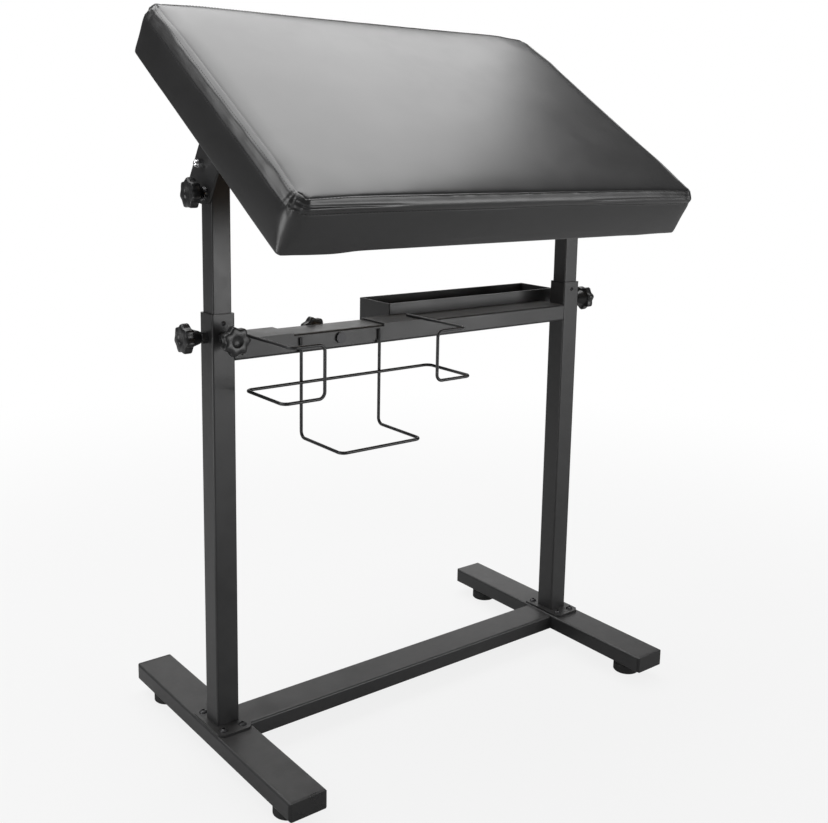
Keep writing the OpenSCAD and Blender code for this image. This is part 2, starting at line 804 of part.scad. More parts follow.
// Thread inserts in the sliding posts for the tilt studs
module tilt_thread_inserts() {
  lip_t = spacer_t - run_gap;
  color(bright_steel) for (side = [-1, 1]) at_post(side) translate([0, 0, lock_z]) along_x(side)
    translate([0, 0, inner_w / 2]) difference() {
      union() {
        cylinder(d = insert_flange_d, h = lip_t, $fn = round_fn);
        translate([0, 0, -insert_len]) cylinder(d = insert_d, h = insert_len, $fn = round_fn);
      }
      translate([0, 0, -insert_len - overrun])
        cylinder(d = stud_d + 2 * run_gap, h = insert_len + lip_t + 2 * overrun, $fn = round_fn);
    }
}

module tilt_lock_washers() {
  color(bright_steel) for (side = [-1, 1]) at_post(side) translate([0, 0, lock_z]) along_x(side)
    translate([0, 0, sector_out - post_span / 2 + run_gap]) difference() {
      cylinder(d = washer_d, h = washer_t, $fn = round_fn);
      translate([0, 0, -overrun])
        cylinder(d = stud_d + 2 * fit_gap, h = washer_t + 2 * overrun, $fn = round_fn);
    }
}

// Places of the wood screws in a bracket's strap, along the cushion's depth
bracket_screw_at = [-strap_front + bracket_screw_end, -strap_front + bracket_screw_end + bracket_screw_step,
  strap_back - bracket_screw_end];

// Arc slot: its angles are counted from straight under the cushion towards its front
slot_half = stud_d / 2 + lock_slot_gap;
slot_from = -tilt_high - slot_end_angle;
slot_to = -tilt_low + slot_end_angle;
slot_steps = 24;
slot_outline = concat(
  [for (i = [0:slot_steps]) polar(slot_r + slot_half, slot_from + (slot_to - slot_from) * i / slot_steps)],
  [for (i = [1:slot_steps - 1]) polar(slot_r, slot_to) + polar(slot_half, slot_to + 180 * i / slot_steps)],
  [for (i = [0:slot_steps]) polar(slot_r - slot_half, slot_to + (slot_from - slot_to) * i / slot_steps)],
  [for (i = [1:slot_steps - 1])
    polar(slot_r, slot_from) - polar(slot_half, slot_from + 180 * i / slot_steps)]);

// Tilt bracket: a strap under the board and a sector plate with an arc slot
module tilt_bracket(side) {
  plate_x = sector_in - post_span / 2;
  color(steel_black) on_tilt(side) mirror([side < 0 ? 1 : 0, 0, 0]) difference() {
    union() {
      intersection() {
        box_at(plate_x, plate_x + bracket_t, -sector_front, sector_back, -sector_r, pad_rise);
        union() {
          translate([plate_x - overrun, 0, 0]) along_x(1)
            cylinder(r = sector_r, h = bracket_t + 2 * overrun, $fn = 2 * round_fn);
          box_at(plate_x, plate_x + bracket_t, -sector_front, sector_back, 0, pad_rise);
        }
      }
      box_at(plate_x + bracket_t - strap_w, plate_x + bracket_t, -strap_front, strap_back,
        pad_rise - bracket_t, pad_rise);
    }
    translate([plate_x - overrun, 0, 0]) along_x(1) {
      cylinder(d = pivot_bolt_d + 2 * run_gap, h = bracket_t + 2 * overrun, $fn = round_fn);
      linear_extrude(bracket_t + 2 * overrun) polygon(slot_outline);
    }
    for (y = bracket_screw_at)
      translate([plate_x + bracket_t - strap_w / 2, y, pad_rise - bracket_t - overrun])
        cylinder(d = bracket_screw_d + 2 * fit_gap, h = bracket_t + 2 * overrun, $fn = round_fn);
  }
}

module bracket_screws() {
  color(bright_steel) for (side = [-1, 1]) on_tilt(side)
    for (y = bracket_screw_at)
      translate([side * (sector_out - post_span / 2 - strap_w / 2), y, pad_rise - bracket_t])
        mirror([0, 0, 1])
          button_screw(bracket_screw_d, bracket_screw_head_d, bracket_screw_head_h, bracket_screw_len);
}

// Plan of the board and the foam, inset from the cushion's outline
module pocket_plan(gap) {
  round_plan(pad_w - 2 * board_hem - 2 * gap, pad_d - 2 * board_hem - 2 * gap, pocket_r - gap);
}

module cushion_board() {
  color(plywood) on_tilt() translate([0, pad_shift, pad_rise]) difference() {
    linear_extrude(board_t) pocket_plan(fit_gap);
    for (side = [-1, 1], y = bracket_screw_at)
      translate([side * (sector_out - strap_w / 2), y - pad_shift, -overrun])
        cylinder(d = bracket_screw_d + 2 * fit_gap, h = bracket_screw_len - bracket_t + overrun + fit_gap,
          $fn = round_fn);
  }
}

module cushion_foam() {
  color(foam_grey) on_tilt() translate([0, pad_shift, pad_rise + board_t])
    linear_extrude(foam_h - seat_gap) pocket_plan(seat_gap);
}

// Sewn cover: crowned on top, drawn in along the sides, open under the board
module cushion_cover() {
  color(vinyl_black) on_tilt() translate([0, pad_shift, pad_rise]) difference() {
    polyhedron(points = cushion_points, faces = cushion_faces, convexity = 4);
    translate([0, 0, -overrun]) linear_extrude(board_t + foam_h + overrun) pocket_plan(0);
  }
}

// Star knob along +Z: a conical neck, then a head with rounded lobes
module star_knob(neck, through = false) {
  lobe_d = knob_d * lobe_d_share;
  lobe_at = (knob_d - lobe_d) / 2;
  core_r = knob_d / 2 * knob_core_share;
  e = knob_edge;
  bore = through ? neck + knob_t * knob_bore_share : (neck + knob_t) * knob_bore_share;
  difference() {
    union() {
      cylinder(r1 = knob_d / 2 * neck_base_share, r2 = knob_d / 2 * neck_top_share, h = neck + e,
        $fn = round_fn);
      translate([0, 0, neck]) {
        rotate_extrude($fn = round_fn)
          polygon([[0, 0], [core_r - e, 0], [core_r, e], [core_r, knob_t - e], [core_r - e, knob_t],
            [0, knob_t]]);
        for (i = [0:knob_lobes - 1]) rotate([0, 0, 360 * i / knob_lobes]) translate([lobe_at, 0, 0])
          rotate_extrude($fn = round_fn)
            polygon([[0, e / 2], [lobe_d / 2 - e, e / 2], [lobe_d / 2, 3 * e / 2],
              [lobe_d / 2, knob_t - 3 * e / 2], [lobe_d / 2 - e, knob_t - e / 2], [0, knob_t - e / 2]]);
      }
    }
    translate([0, 0, -overrun]) cylinder(d = stud_d + 2 * run_gap, h = bore + overrun, $fn = round_fn);
    translate([0, 0, neck + knob_t - cap_recess])
      cylinder(r = knob_d / 2 * cap_recess_share, h = cap_recess + overrun, $fn = round_fn);
  }
}

// Height knobs and their studs, drawn along +Z from the post's centre line
clamp_knob_at = outer_w / 2 + nut_h + stud_show;
module clamp_knob() {
  color(plastic_black) translate([0, 0, clamp_knob_at]) star_knob(neck_len);
}

module clamp_stud() {
  from = inner_w / 2 + tip_gap;
  color(bright_steel) translate([0, 0, from])
    cylinder(d = stud_d, h = clamp_knob_at + (neck_len + knob_t) * knob_bore_share - from - run_gap,
      $fn = round_fn);
}

module height_place(side) {
  at_post(side) translate([0, 0, clamp_z]) along_x(side) children();
}

module front_clamp_place() {
  at_post(-1) translate([0, 0, clamp_z]) along_front() children();
}

// Tilt knobs and studs, drawn along +Z from the post's centre line
tilt_knob_at = sector_out - post_span / 2 + run_gap + washer_t + seat_gap;
module tilt_place(side) {
  at_post(side) translate([0, 0, lock_z]) along_x(side) children();
}

module tilt_knob() {
  color(plastic_black) translate([0, 0, tilt_knob_at]) star_knob(short_neck_len);
}

module tilt_stud() {
  from = inner_w / 2 - insert_len;
  color(bright_steel) translate([0, 0, from])
    cylinder(d = stud_d, h = tilt_knob_at + (short_neck_len + knob_t) * knob_bore_share - from - run_gap,
      $fn = round_fn);
}

// Knob behind the rail that draws the glove box holder tight
module holder_clamp_knob() {
  color(plastic_black) translate([holder_x, posts_y + rail_back + seat_gap, clamp_bolt_z])
    along_back() star_knob(short_neck_len, true);
}

// Levelling foot: a disc with rounded edges on a threaded stem
module foot_place(side, end) {
  at_post(side) translate([0, end * (foot_len / 2 - foot_inset), 0]) children();
}

module foot_disc(side, end) {
  r = disc_d / 2;
  e = disc_edge_r;
  color(plastic_black) foot_place(side, end) difference() {
    union() {
      rotate_extrude($fn = round_fn)
        polygon([[0, 0], [r - e / 3, 0], [r, e / 3], [r, disc_h - e], [r - e, disc_h], [0, disc_h]]);
      cylinder(d = collar_d, h = disc_h + collar_h, $fn = round_fn);
    }
    translate([0, 0, disc_h + collar_h - stem_in_disc])
      cylinder(d = stem_d, h = stem_in_disc + overrun, $fn = round_fn);
  }
}

module foot_stem(side, end) {
  color(bright_steel) foot_place(side, end) translate([0, 0, disc_h + collar_h - stem_in_disc])
    cylinder(d = stem_d, h = stem_in_disc + stem_len, $fn = round_fn);
}

foot_bar(-1);  // left_foot_bar
foot_bar(1);  // right_foot_bar
foot_bar_end_caps();
cross_bar();
flange_plate(-1);  // left_flange_plate
flange_plate(1);  // right_flange_plate
flange_bolts();
flange_thread_inserts();
foot_thread_inserts();
outer_post(-1);  // left_outer_post
outer_post(1);  // right_outer_post
guide_bush(-1);  // left_guide_bush
guide_bush(1);  // right_guide_bush
guide_bush_screws();
clamp_weld_nuts();
upper_rail();
rail_end_plates();
bottle_tray();
tray_screws();
tray_thread_inserts();
holder_hook(-1);  // left_holder_hook
holder_hook(1);  // right_holder_hook
holder_back_strap();
holder_wire_loop();
holder_wire_cradle();
holder_clamp_bolt();
sliding_post(-1);  // left_sliding_post
sliding_post(1);  // right_sliding_post
sliding_post_caps();
sliding_post_shoes();
pivot_bolts();
pivot_dome_nuts();
pivot_spacers();
tilt_thread_inserts();
tilt_lock_washers();
tilt_bracket(-1);  // left_tilt_bracket
tilt_bracket(1);  // right_tilt_bracket
bracket_screws();
cushion_board();
cushion_foam();
cushion_cover();
height_place(-1) clamp_knob();  // left_height_knob
height_place(-1) clamp_stud();  // left_height_stud
height_place(1) clamp_knob();  // right_height_knob
height_place(1) clamp_stud();  // right_height_stud
front_clamp_place() clamp_knob();  // front_clamp_knob
front_clamp_place() clamp_stud();  // front_clamp_stud
tilt_place(-1) tilt_knob();  // left_tilt_knob
tilt_place(-1) tilt_stud();  // left_tilt_stud
tilt_place(1) tilt_knob();  // right_tilt_knob
tilt_place(1) tilt_stud();  // right_tilt_stud
holder_clamp_knob();
foot_disc(-1, -1);  // front_left_foot_disc
foot_stem(-1, -1);  // front_left_foot_stem
foot_disc(1, -1);  // front_right_foot_disc
foot_stem(1, -1);  // front_right_foot_stem
foot_disc(-1, 1);  // back_left_foot_disc
foot_stem(-1, 1);  // back_left_foot_stem
foot_disc(1, 1);  // back_right_foot_disc
foot_stem(1, 1);  // back_right_foot_stem
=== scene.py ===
import json
import math
import bpy
import bmesh
from mathutils import Matrix, Vector, bvhtree, noise


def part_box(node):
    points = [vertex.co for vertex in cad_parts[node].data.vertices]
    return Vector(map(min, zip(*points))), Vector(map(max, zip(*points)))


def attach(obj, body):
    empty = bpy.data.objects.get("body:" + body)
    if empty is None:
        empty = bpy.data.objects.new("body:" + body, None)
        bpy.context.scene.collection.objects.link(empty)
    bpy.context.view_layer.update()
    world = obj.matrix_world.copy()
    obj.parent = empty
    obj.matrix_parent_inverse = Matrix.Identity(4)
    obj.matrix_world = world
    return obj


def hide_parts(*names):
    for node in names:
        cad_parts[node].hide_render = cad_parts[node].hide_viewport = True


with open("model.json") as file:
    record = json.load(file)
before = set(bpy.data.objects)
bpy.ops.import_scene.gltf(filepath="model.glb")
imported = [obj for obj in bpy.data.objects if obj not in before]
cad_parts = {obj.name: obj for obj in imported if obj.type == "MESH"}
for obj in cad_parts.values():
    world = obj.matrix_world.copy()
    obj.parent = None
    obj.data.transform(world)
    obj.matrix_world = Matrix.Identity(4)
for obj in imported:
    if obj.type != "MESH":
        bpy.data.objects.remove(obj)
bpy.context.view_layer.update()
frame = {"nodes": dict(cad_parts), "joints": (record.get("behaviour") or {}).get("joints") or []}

nodes = frame["nodes"]
scene = bpy.context.scene
joints = {joint["name"]: joint for joint in frame["joints"]}
postsY = joints["arm_rest_tilt"]["pos_m"][1]    # the posts' centre line
pivotZ = joints["arm_rest_tilt"]["pos_m"][2]    # the tilt pivot's height
print("frame loaded with", len(nodes), "nodes")


def finishMesh(bm, name, smooth=True, sharpAngle=None):
    mesh = bpy.data.meshes.new(name)
    bm.to_mesh(mesh)
    bm.free()
    piece = bpy.data.objects.new(name, mesh)
    scene.collection.objects.link(piece)
    if smooth:
        mesh.polygons.foreach_set("use_smooth", [True] * len(mesh.polygons))
        if sharpAngle is not None:
            mesh.set_sharp_from_angle(angle=math.radians(sharpAngle))
    return piece


def applyModifiers(piece):
    graph = bpy.context.evaluated_depsgraph_get()
    shaped = bpy.data.meshes.new_from_object(piece.evaluated_get(graph))
    piece.modifiers.clear()
    piece.data = shaped


def smoothStep(low, high, value):
    t = min(1.0, max(0.0, (value - low) / (high - low)))
    return t * t * (3 - 2 * t)


cameraSetup = {
    "yaw": 0.665,       # turned from +Y towards +X, in radians
    "pitch": 0.1739,    # looking down
    "roll": 0.0186,
    "lens": 46.79, "sensorWidth": 36, "clipStart": 0.05,
    "shiftY": -0.0984,
    "place": (-0.87207, -1.11730, 0.75720),    # from the posts' centre line on the floor
}


def makeCamera(setup):
    yaw, pitch, roll = setup["yaw"], setup["pitch"], setup["roll"]
    forward = Vector((math.sin(yaw) * math.cos(pitch), math.cos(yaw) * math.cos(pitch), -math.sin(pitch)))
    right = Vector((math.cos(yaw), -math.sin(yaw), 0))
    up = right.cross(forward)
    turnedRight = right * math.cos(roll) + up * math.sin(roll)
    turnedUp = up * math.cos(roll) - right * math.sin(roll)
    turn = Matrix((turnedRight, turnedUp, -forward)).transposed().to_4x4()
    data = bpy.data.cameras.new("photoCamera")
    data.lens = setup["lens"]
    data.sensor_width = setup["sensorWidth"]
    data.shift_y = setup["shiftY"]
    data.clip_start = setup["clipStart"]
    camera = bpy.data.objects.new("photoCamera", data)
    camera.matrix_world = Matrix.Translation(Vector(setup["place"]) + Vector((0, postsY, 0))) @ turn
    scene.collection.objects.link(camera)
    scene.camera = camera


makeCamera(cameraSetup)
print("camera placed")

studio = {
    "roomLight": 0.35,          # strength of the world for the light it gives
    "mirrorWalls": 0.10,        # what shiny surfaces see of the walls, where 1 is the white of the background
    "mirrorFrom": 0.68, "mirrorTo": 0.95,    # height in the sky over which those walls turn white
    "floorHalf": 9, "floorRoughness": 0.9, "floorSpecular": 0.1,
    "floorColor": (0.42, 0.42, 0.42, 1),
    "whiteNear": 0.84,          # share of plain white in the floor beside the object
    "whiteMirrored": 0.1,       # share of plain white in the far floor as shiny surfaces see it
    "whiteFrom": 0.60, "whiteTo": 1.9,    # metres from the object over which the floor turns to plain white
    # each lamp's place, the place that it faces, its width and height, and its power in watts
    "lamps": {
        "overhead": ((0.25, 0.85, 2.7), (0.10, 0.50, 0.6), 3.2, 2.7, 84),
        "frontWide": ((1.30, -2.4, 0.50), (0.1, 0.0, 0.5), 1.9, 1.0, 29),
        "leftStrip": ((-2.0, -0.9, 0.42), (-0.3, 0.0, 0.45), 0.35, 0.85, 4),
        "lowLeft": ((-1.35, 0.1, 0.16), (-0.3, -0.15, 0.62), 0.6, 0.4, 3),
        "leftHigh": ((-1.94, 0.64, 1.68), (-0.3, 0.0, 0.75), 1.0, 0.9, 12),
        "backWide": ((1.85, 2.6, 0.9), (0.0, 0.0, 0.1), 2.6, 0.8, 9),
    },
}


def addSoftbox(name, place, aim, width, height, power):
    light = bpy.data.lights.new(name, "AREA")
    light.shape = "RECTANGLE"
    light.size = width
    light.size_y = height
    light.energy = power
    lamp = bpy.data.objects.new(name, light)
    lamp.location = place
    lamp.rotation_euler = (Vector(aim) - Vector(place)).to_track_quat("-Z", "Y").to_euler()
    lamp.visible_camera = False
    scene.collection.objects.link(lamp)


def mathNode(tree, operation, first, second):
    node = tree.nodes.new("ShaderNodeMath")
    node.operation = operation
    for socket, value in zip(node.inputs, (first, second)):
        if isinstance(value, (int, float)):
            socket.default_value = value
        else:
            tree.links.new(value, socket)
    return node.outputs["Value"]


def rangeNode(tree, value, fromMin, fromMax, toMin, toMax, interpolation="SMOOTHSTEP"):
    node = tree.nodes.new("ShaderNodeMapRange")
    node.interpolation_type = interpolation
    tree.links.new(value, node.inputs["Value"])
    for label, number in (("From Min", fromMin), ("From Max", fromMax), ("To Min", toMin), ("To Max", toMax)):
        node.inputs[label].default_value = number
    return node.outputs["Result"]


def makeWorld(setup):
    # plain white to the camera; shiny surfaces see a white ceiling over darker walls
    world = bpy.data.worlds.new("studioWorld")
    world.use_nodes = True
    scene.world = world
    tree = world.node_tree
    background = tree.nodes["Background"]
    background.inputs["Color"].default_value = (1, 1, 1, 1)
    path = tree.nodes.new("ShaderNodeLightPath").outputs
    place = tree.nodes.new("ShaderNodeTexCoord")
    parts = tree.nodes.new("ShaderNodeSeparateXYZ")
    tree.links.new(place.outputs["Generated"], parts.inputs["Vector"])
    mirrored = rangeNode(tree, parts.outputs["Z"], setup["mirrorFrom"], setup["mirrorTo"],
                         setup["mirrorWalls"] - setup["roomLight"], 1 - setup["roomLight"])
    glossy = mathNode(tree, "MULTIPLY", mirrored, path["Is Glossy Ray"])
    lit = mathNode(tree, "ADD", glossy, setup["roomLight"])
    seen = mathNode(tree, "MAXIMUM", path["Is Camera Ray"], path["Is Transmission Ray"])
    tree.links.new(mathNode(tree, "MAXIMUM", lit, seen), background.inputs["Strength"])


def makeFloor(setup):
    # pale paper: it keeps a soft shadow near the object and is plain white further out
    bm = bmesh.new()
    bmesh.ops.create_grid(bm, x_segments=2, y_segments=2, size=setup["floorHalf"])
    floor = finishMesh(bm, "studioFloor", smooth=False)
    material = bpy.data.materials.new("studioFloorPaper")
    material.use_nodes = True
    tree = material.node_tree
    shader = tree.nodes["Principled BSDF"]
    shader.inputs["Base Color"].default_value = setup["floorColor"]
    shader.inputs["Roughness"].default_value = setup["floorRoughness"]
    shader.inputs["Specular IOR Level"].default_value = setup["floorSpecular"]
    place = tree.nodes.new("ShaderNodeTexCoord")
    distance = tree.nodes.new("ShaderNodeVectorMath")
    distance.operation = "LENGTH"
    tree.links.new(place.outputs["Object"], distance.inputs[0])
    far = rangeNode(tree, distance.outputs["Value"], setup["whiteFrom"], setup["whiteTo"], 0, 1)
    near = rangeNode(tree, far, 0, 1, setup["whiteNear"], 1, "LINEAR")
    path = tree.nodes.new("ShaderNodeLightPath").outputs
    byCamera = mathNode(tree, "MULTIPLY", near, path["Is Camera Ray"])
    mirrored = mathNode(tree, "MAXIMUM", path["Is Glossy Ray"], path["Is Transmission Ray"])
    byMirror = mathNode(tree, "MULTIPLY", mathNode(tree, "MULTIPLY", far, setup["whiteMirrored"]), mirrored)
    seen = mathNode(tree, "MAXIMUM", byCamera, byMirror)
    glow = tree.nodes.new("ShaderNodeEmission")
    both = tree.nodes.new("ShaderNodeMixShader")
    tree.links.new(seen, both.inputs["Fac"])
    tree.links.new(shader.outputs["BSDF"], both.inputs[1])
    tree.links.new(glow.outputs["Emission"], both.inputs[2])
    tree.links.new(both.outputs["Shader"], tree.nodes["Material Output"].inputs["Surface"])
    floor.data.materials.append(material)


def makeStudio(setup):
    scene.view_settings.view_transform = "Standard"
    makeWorld(setup)
    makeFloor(setup)
    for name, lamp in setup["lamps"].items():
        addSoftbox(name, *lamp)


makeStudio(studio)
print("studio ready")


def newGroup(name, inputs, outputs):
    group = bpy.data.node_groups.new(name, "ShaderNodeTree")
    for label, kind, value in inputs:
        socket = group.interface.new_socket(name=label, in_out="INPUT", socket_type=kind)
        if value is not None:
            socket.default_value = value
    for label in outputs:
        group.interface.new_socket(name=label, in_out="OUTPUT", socket_type="NodeSocketFloat")
    return group, group.nodes.new("NodeGroupInput"), group.nodes.new("NodeGroupOutput")


def addNode(tree, kind, values=None, **settings):
    node = tree.nodes.new(kind)
    for key, value in settings.items():
        setattr(node, key, value)
    for label, value in (values or {}).items():
        node.inputs[label].default_value = value
    return node


effects = {
    "cellSmoothness": 0.6, "grainDetail": 3,
    "patchDetail": 4, "patchRoughness": 0.6,
    "streakDetail": 6, "streakDistortion": 0.8, "streakFiner": 6.0, "streakShare": 0.35,
    "marksFrom": 0.32, "marksTo": 0.68,      # the noise values over which gloss changes
    "dustFrom": 0.5, "dustTo": 1.0,          # how far a surface looks up
    "dustScale": 60, "dustDetail": 8, "dustRoughness": 0.7,
    "dustColor": (0.32, 0.31, 0.30, 1),
}


def makeTextureGrain(e):
    # fine cells for coated steel, moulded plastic and vinyl
    group, start, end = newGroup(
        "surfaceGrain",
        [("Vector", "NodeSocketVector", None), ("Scale", "NodeSocketFloat", 600.0),
         ("Softness", "NodeSocketFloat", 0.5)],
        ["Height"])
    link = group.links.new
    cells = addNode(group, "ShaderNodeTexVoronoi", {"Smoothness": e["cellSmoothness"]}, feature="SMOOTH_F1")
    fine = addNode(group, "ShaderNodeTexNoise", {"Detail": e["grainDetail"]})
    mix = addNode(group, "ShaderNodeMix", data_type="FLOAT")
    for texture in (cells, fine):
        link(start.outputs["Vector"], texture.inputs["Vector"])
        link(start.outputs["Scale"], texture.inputs["Scale"])
    link(start.outputs["Softness"], mix.inputs["Factor"])
    link(cells.outputs["Distance"], mix.inputs["A"])
    link(fine.outputs["Fac"], mix.inputs["B"])
    link(mix.outputs["Result"], end.inputs["Height"])
    return group


def makeHandlingMarks(e):
    # broad patches of slightly different gloss, and thin rubbed streaks
    group, start, end = newGroup(
        "handlingMarks",
        [("Vector", "NodeSocketVector", None), ("Scale", "NodeSocketFloat", 9.0),
         ("Smooth", "NodeSocketFloat", 0.3), ("Rough", "NodeSocketFloat", 0.45)],
        ["Roughness", "Mask"])
    link = group.links.new
    broad = addNode(group, "ShaderNodeTexNoise",
                    {"Detail": e["patchDetail"], "Roughness": e["patchRoughness"]})
    streak = addNode(group, "ShaderNodeTexNoise",
                     {"Detail": e["streakDetail"], "Distortion": e["streakDistortion"]})
    larger = addNode(group, "ShaderNodeMath", {1: e["streakFiner"]}, operation="MULTIPLY")
    both = addNode(group, "ShaderNodeMix", {"Factor": e["streakShare"]}, data_type="FLOAT")
    spread = addNode(group, "ShaderNodeMapRange", {"From Min": e["marksFrom"], "From Max": e["marksTo"]},
                     interpolation_type="SMOOTHSTEP")
    gloss = addNode(group, "ShaderNodeMapRange")
    link(start.outputs["Vector"], broad.inputs["Vector"])
    link(start.outputs["Scale"], broad.inputs["Scale"])
    link(start.outputs["Scale"], larger.inputs[0])
    link(start.outputs["Vector"], streak.inputs["Vector"])
    link(larger.outputs["Value"], streak.inputs["Scale"])
    link(broad.outputs["Fac"], both.inputs["A"])
    link(streak.outputs["Fac"], both.inputs["B"])
    link(both.outputs["Result"], spread.inputs["Value"])
    link(spread.outputs["Result"], gloss.inputs["Value"])
    link(start.outputs["Smooth"], gloss.inputs["To Min"])
    link(start.outputs["Rough"], gloss.inputs["To Max"])
    link(gloss.outputs["Result"], end.inputs["Roughness"])
    link(spread.outputs["Result"], end.inputs["Mask"])
    return group


def makeTopDust(e):
    # a little pale dust where a surface looks up
    group, start, end = newGroup(
        "topDust",
        [("Vector", "NodeSocketVector", None), ("Amount", "NodeSocketFloat", 0.15)],
        ["Mask"])
    link = group.links.new
    geometry = addNode(group, "ShaderNodeNewGeometry")
    parts = addNode(group, "ShaderNodeSeparateXYZ")
    upward = addNode(group, "ShaderNodeMapRange", {"From Min": e["dustFrom"], "From Max": e["dustTo"]},
                     interpolation_type="SMOOTHSTEP")
    patches = addNode(group, "ShaderNodeTexNoise",
                      {"Scale": e["dustScale"], "Detail": e["dustDetail"], "Roughness": e["dustRoughness"]})
    shaped = addNode(group, "ShaderNodeMath", operation="MULTIPLY")
    scaled = addNode(group, "ShaderNodeMath", operation="MULTIPLY")
    link(geometry.outputs["Normal"], parts.inputs["Vector"])
    link(parts.outputs["Z"], upward.inputs["Value"])
    link(start.outputs["Vector"], patches.inputs["Vector"])
    link(upward.outputs["Result"], shaped.inputs[0])
    link(patches.outputs["Fac"], shaped.inputs[1])
    link(shaped.outputs["Value"], scaled.inputs[0])
    link(start.outputs["Amount"], scaled.inputs[1])
    link(scaled.outputs["Value"], end.inputs["Mask"])
    return group


surfaceGrain = makeTextureGrain(effects)
handlingMarks = makeHandlingMarks(effects)
topDust = makeTopDust(effects)


def newMaterial(name):
    material = bpy.data.materials.new(name)
    material.use_nodes = True
    tree = material.node_tree
    place = addNode(tree, "ShaderNodeTexCoord").outputs["Object"]
    return material, tree, tree.nodes["Principled BSDF"], place


def addBump(tree, height, shader, finish):
    bump = addNode(tree, "ShaderNodeBump",
                   {"Strength": finish["bumpStrength"], "Distance": finish["bumpDepth"]})
    tree.links.new(height, bump.inputs["Height"])
    tree.links.new(bump.outputs["Normal"], shader.inputs["Normal"])


def coatedMaterial(name, finish):
    # a base colour with dust and tone changes, gloss marks and a fine grain
    material, tree, shader, place = newMaterial(name)
    link = tree.links.new

    marks = addNode(tree, "ShaderNodeGroup", node_tree=handlingMarks)
    for label, key in (("Scale", "markScale"), ("Smooth", "smooth"), ("Rough", "rough")):
        marks.inputs[label].default_value = finish[key]
    link(place, marks.inputs["Vector"])
    link(marks.outputs["Roughness"], shader.inputs["Roughness"])

    tone = addNode(tree, "ShaderNodeMix", data_type="RGBA")
    tone.inputs["A"].default_value = finish["color"] + (1,)
    tone.inputs["B"].default_value = finish["toneColor"] + (1,)
    link(marks.outputs["Mask"], tone.inputs["Factor"])
    dust = addNode(tree, "ShaderNodeGroup", node_tree=topDust)
    dust.inputs["Amount"].default_value = finish["dust"]
    link(place, dust.inputs["Vector"])
    dusty = addNode(tree, "ShaderNodeMix", data_type="RGBA")
    dusty.inputs["B"].default_value = effects["dustColor"]
    link(tone.outputs["Result"], dusty.inputs["A"])
    link(dust.outputs["Mask"], dusty.inputs["Factor"])
    link(dusty.outputs["Result"], shader.inputs["Base Color"])

    grain = addNode(tree, "ShaderNodeGroup", node_tree=surfaceGrain)
    grain.inputs["Scale"].default_value = finish["grainScale"]
    grain.inputs["Softness"].default_value = finish["grainSoftness"]
    link(place, grain.inputs["Vector"])
    addBump(tree, grain.outputs["Height"], shader, finish)

    shader.inputs["Metallic"].default_value = finish.get("metallic", 0)
    shader.inputs["Specular IOR Level"].default_value = finish.get("specular", 0.5)
    shader.inputs["Coat Weight"].default_value = finish.get("coat", 0)
    shader.inputs["Coat Roughness"].default_value = finish.get("coatRoughness", 0.2)
    return material


def plywoodMaterial(name, finish):
    material, tree, shader, place = newMaterial(name)
    link = tree.links.new
    stretch = addNode(tree, "ShaderNodeMapping", {"Scale": finish["stretch"]})
    link(place, stretch.inputs["Vector"])
    grain = addNode(tree, "ShaderNodeTexNoise", {
        "Scale": finish["grainScale"], "Detail": finish["grainDetail"],
        "Distortion": finish["grainDistortion"]})
    link(stretch.outputs["Vector"], grain.inputs["Vector"])
    ramp = addNode(tree, "ShaderNodeValToRGB")
    for element, key in zip(ramp.color_ramp.elements, ("dark", "pale")):
        element.position = finish[key + "At"]
        element.color = finish[key + "Color"] + (1,)
    link(grain.outputs["Fac"], ramp.inputs["Fac"])
    link(ramp.outputs["Color"], shader.inputs["Base Color"])
    shader.inputs["Roughness"].default_value = finish["rough"]
    addBump(tree, grain.outputs["Fac"], shader, finish)
    return material


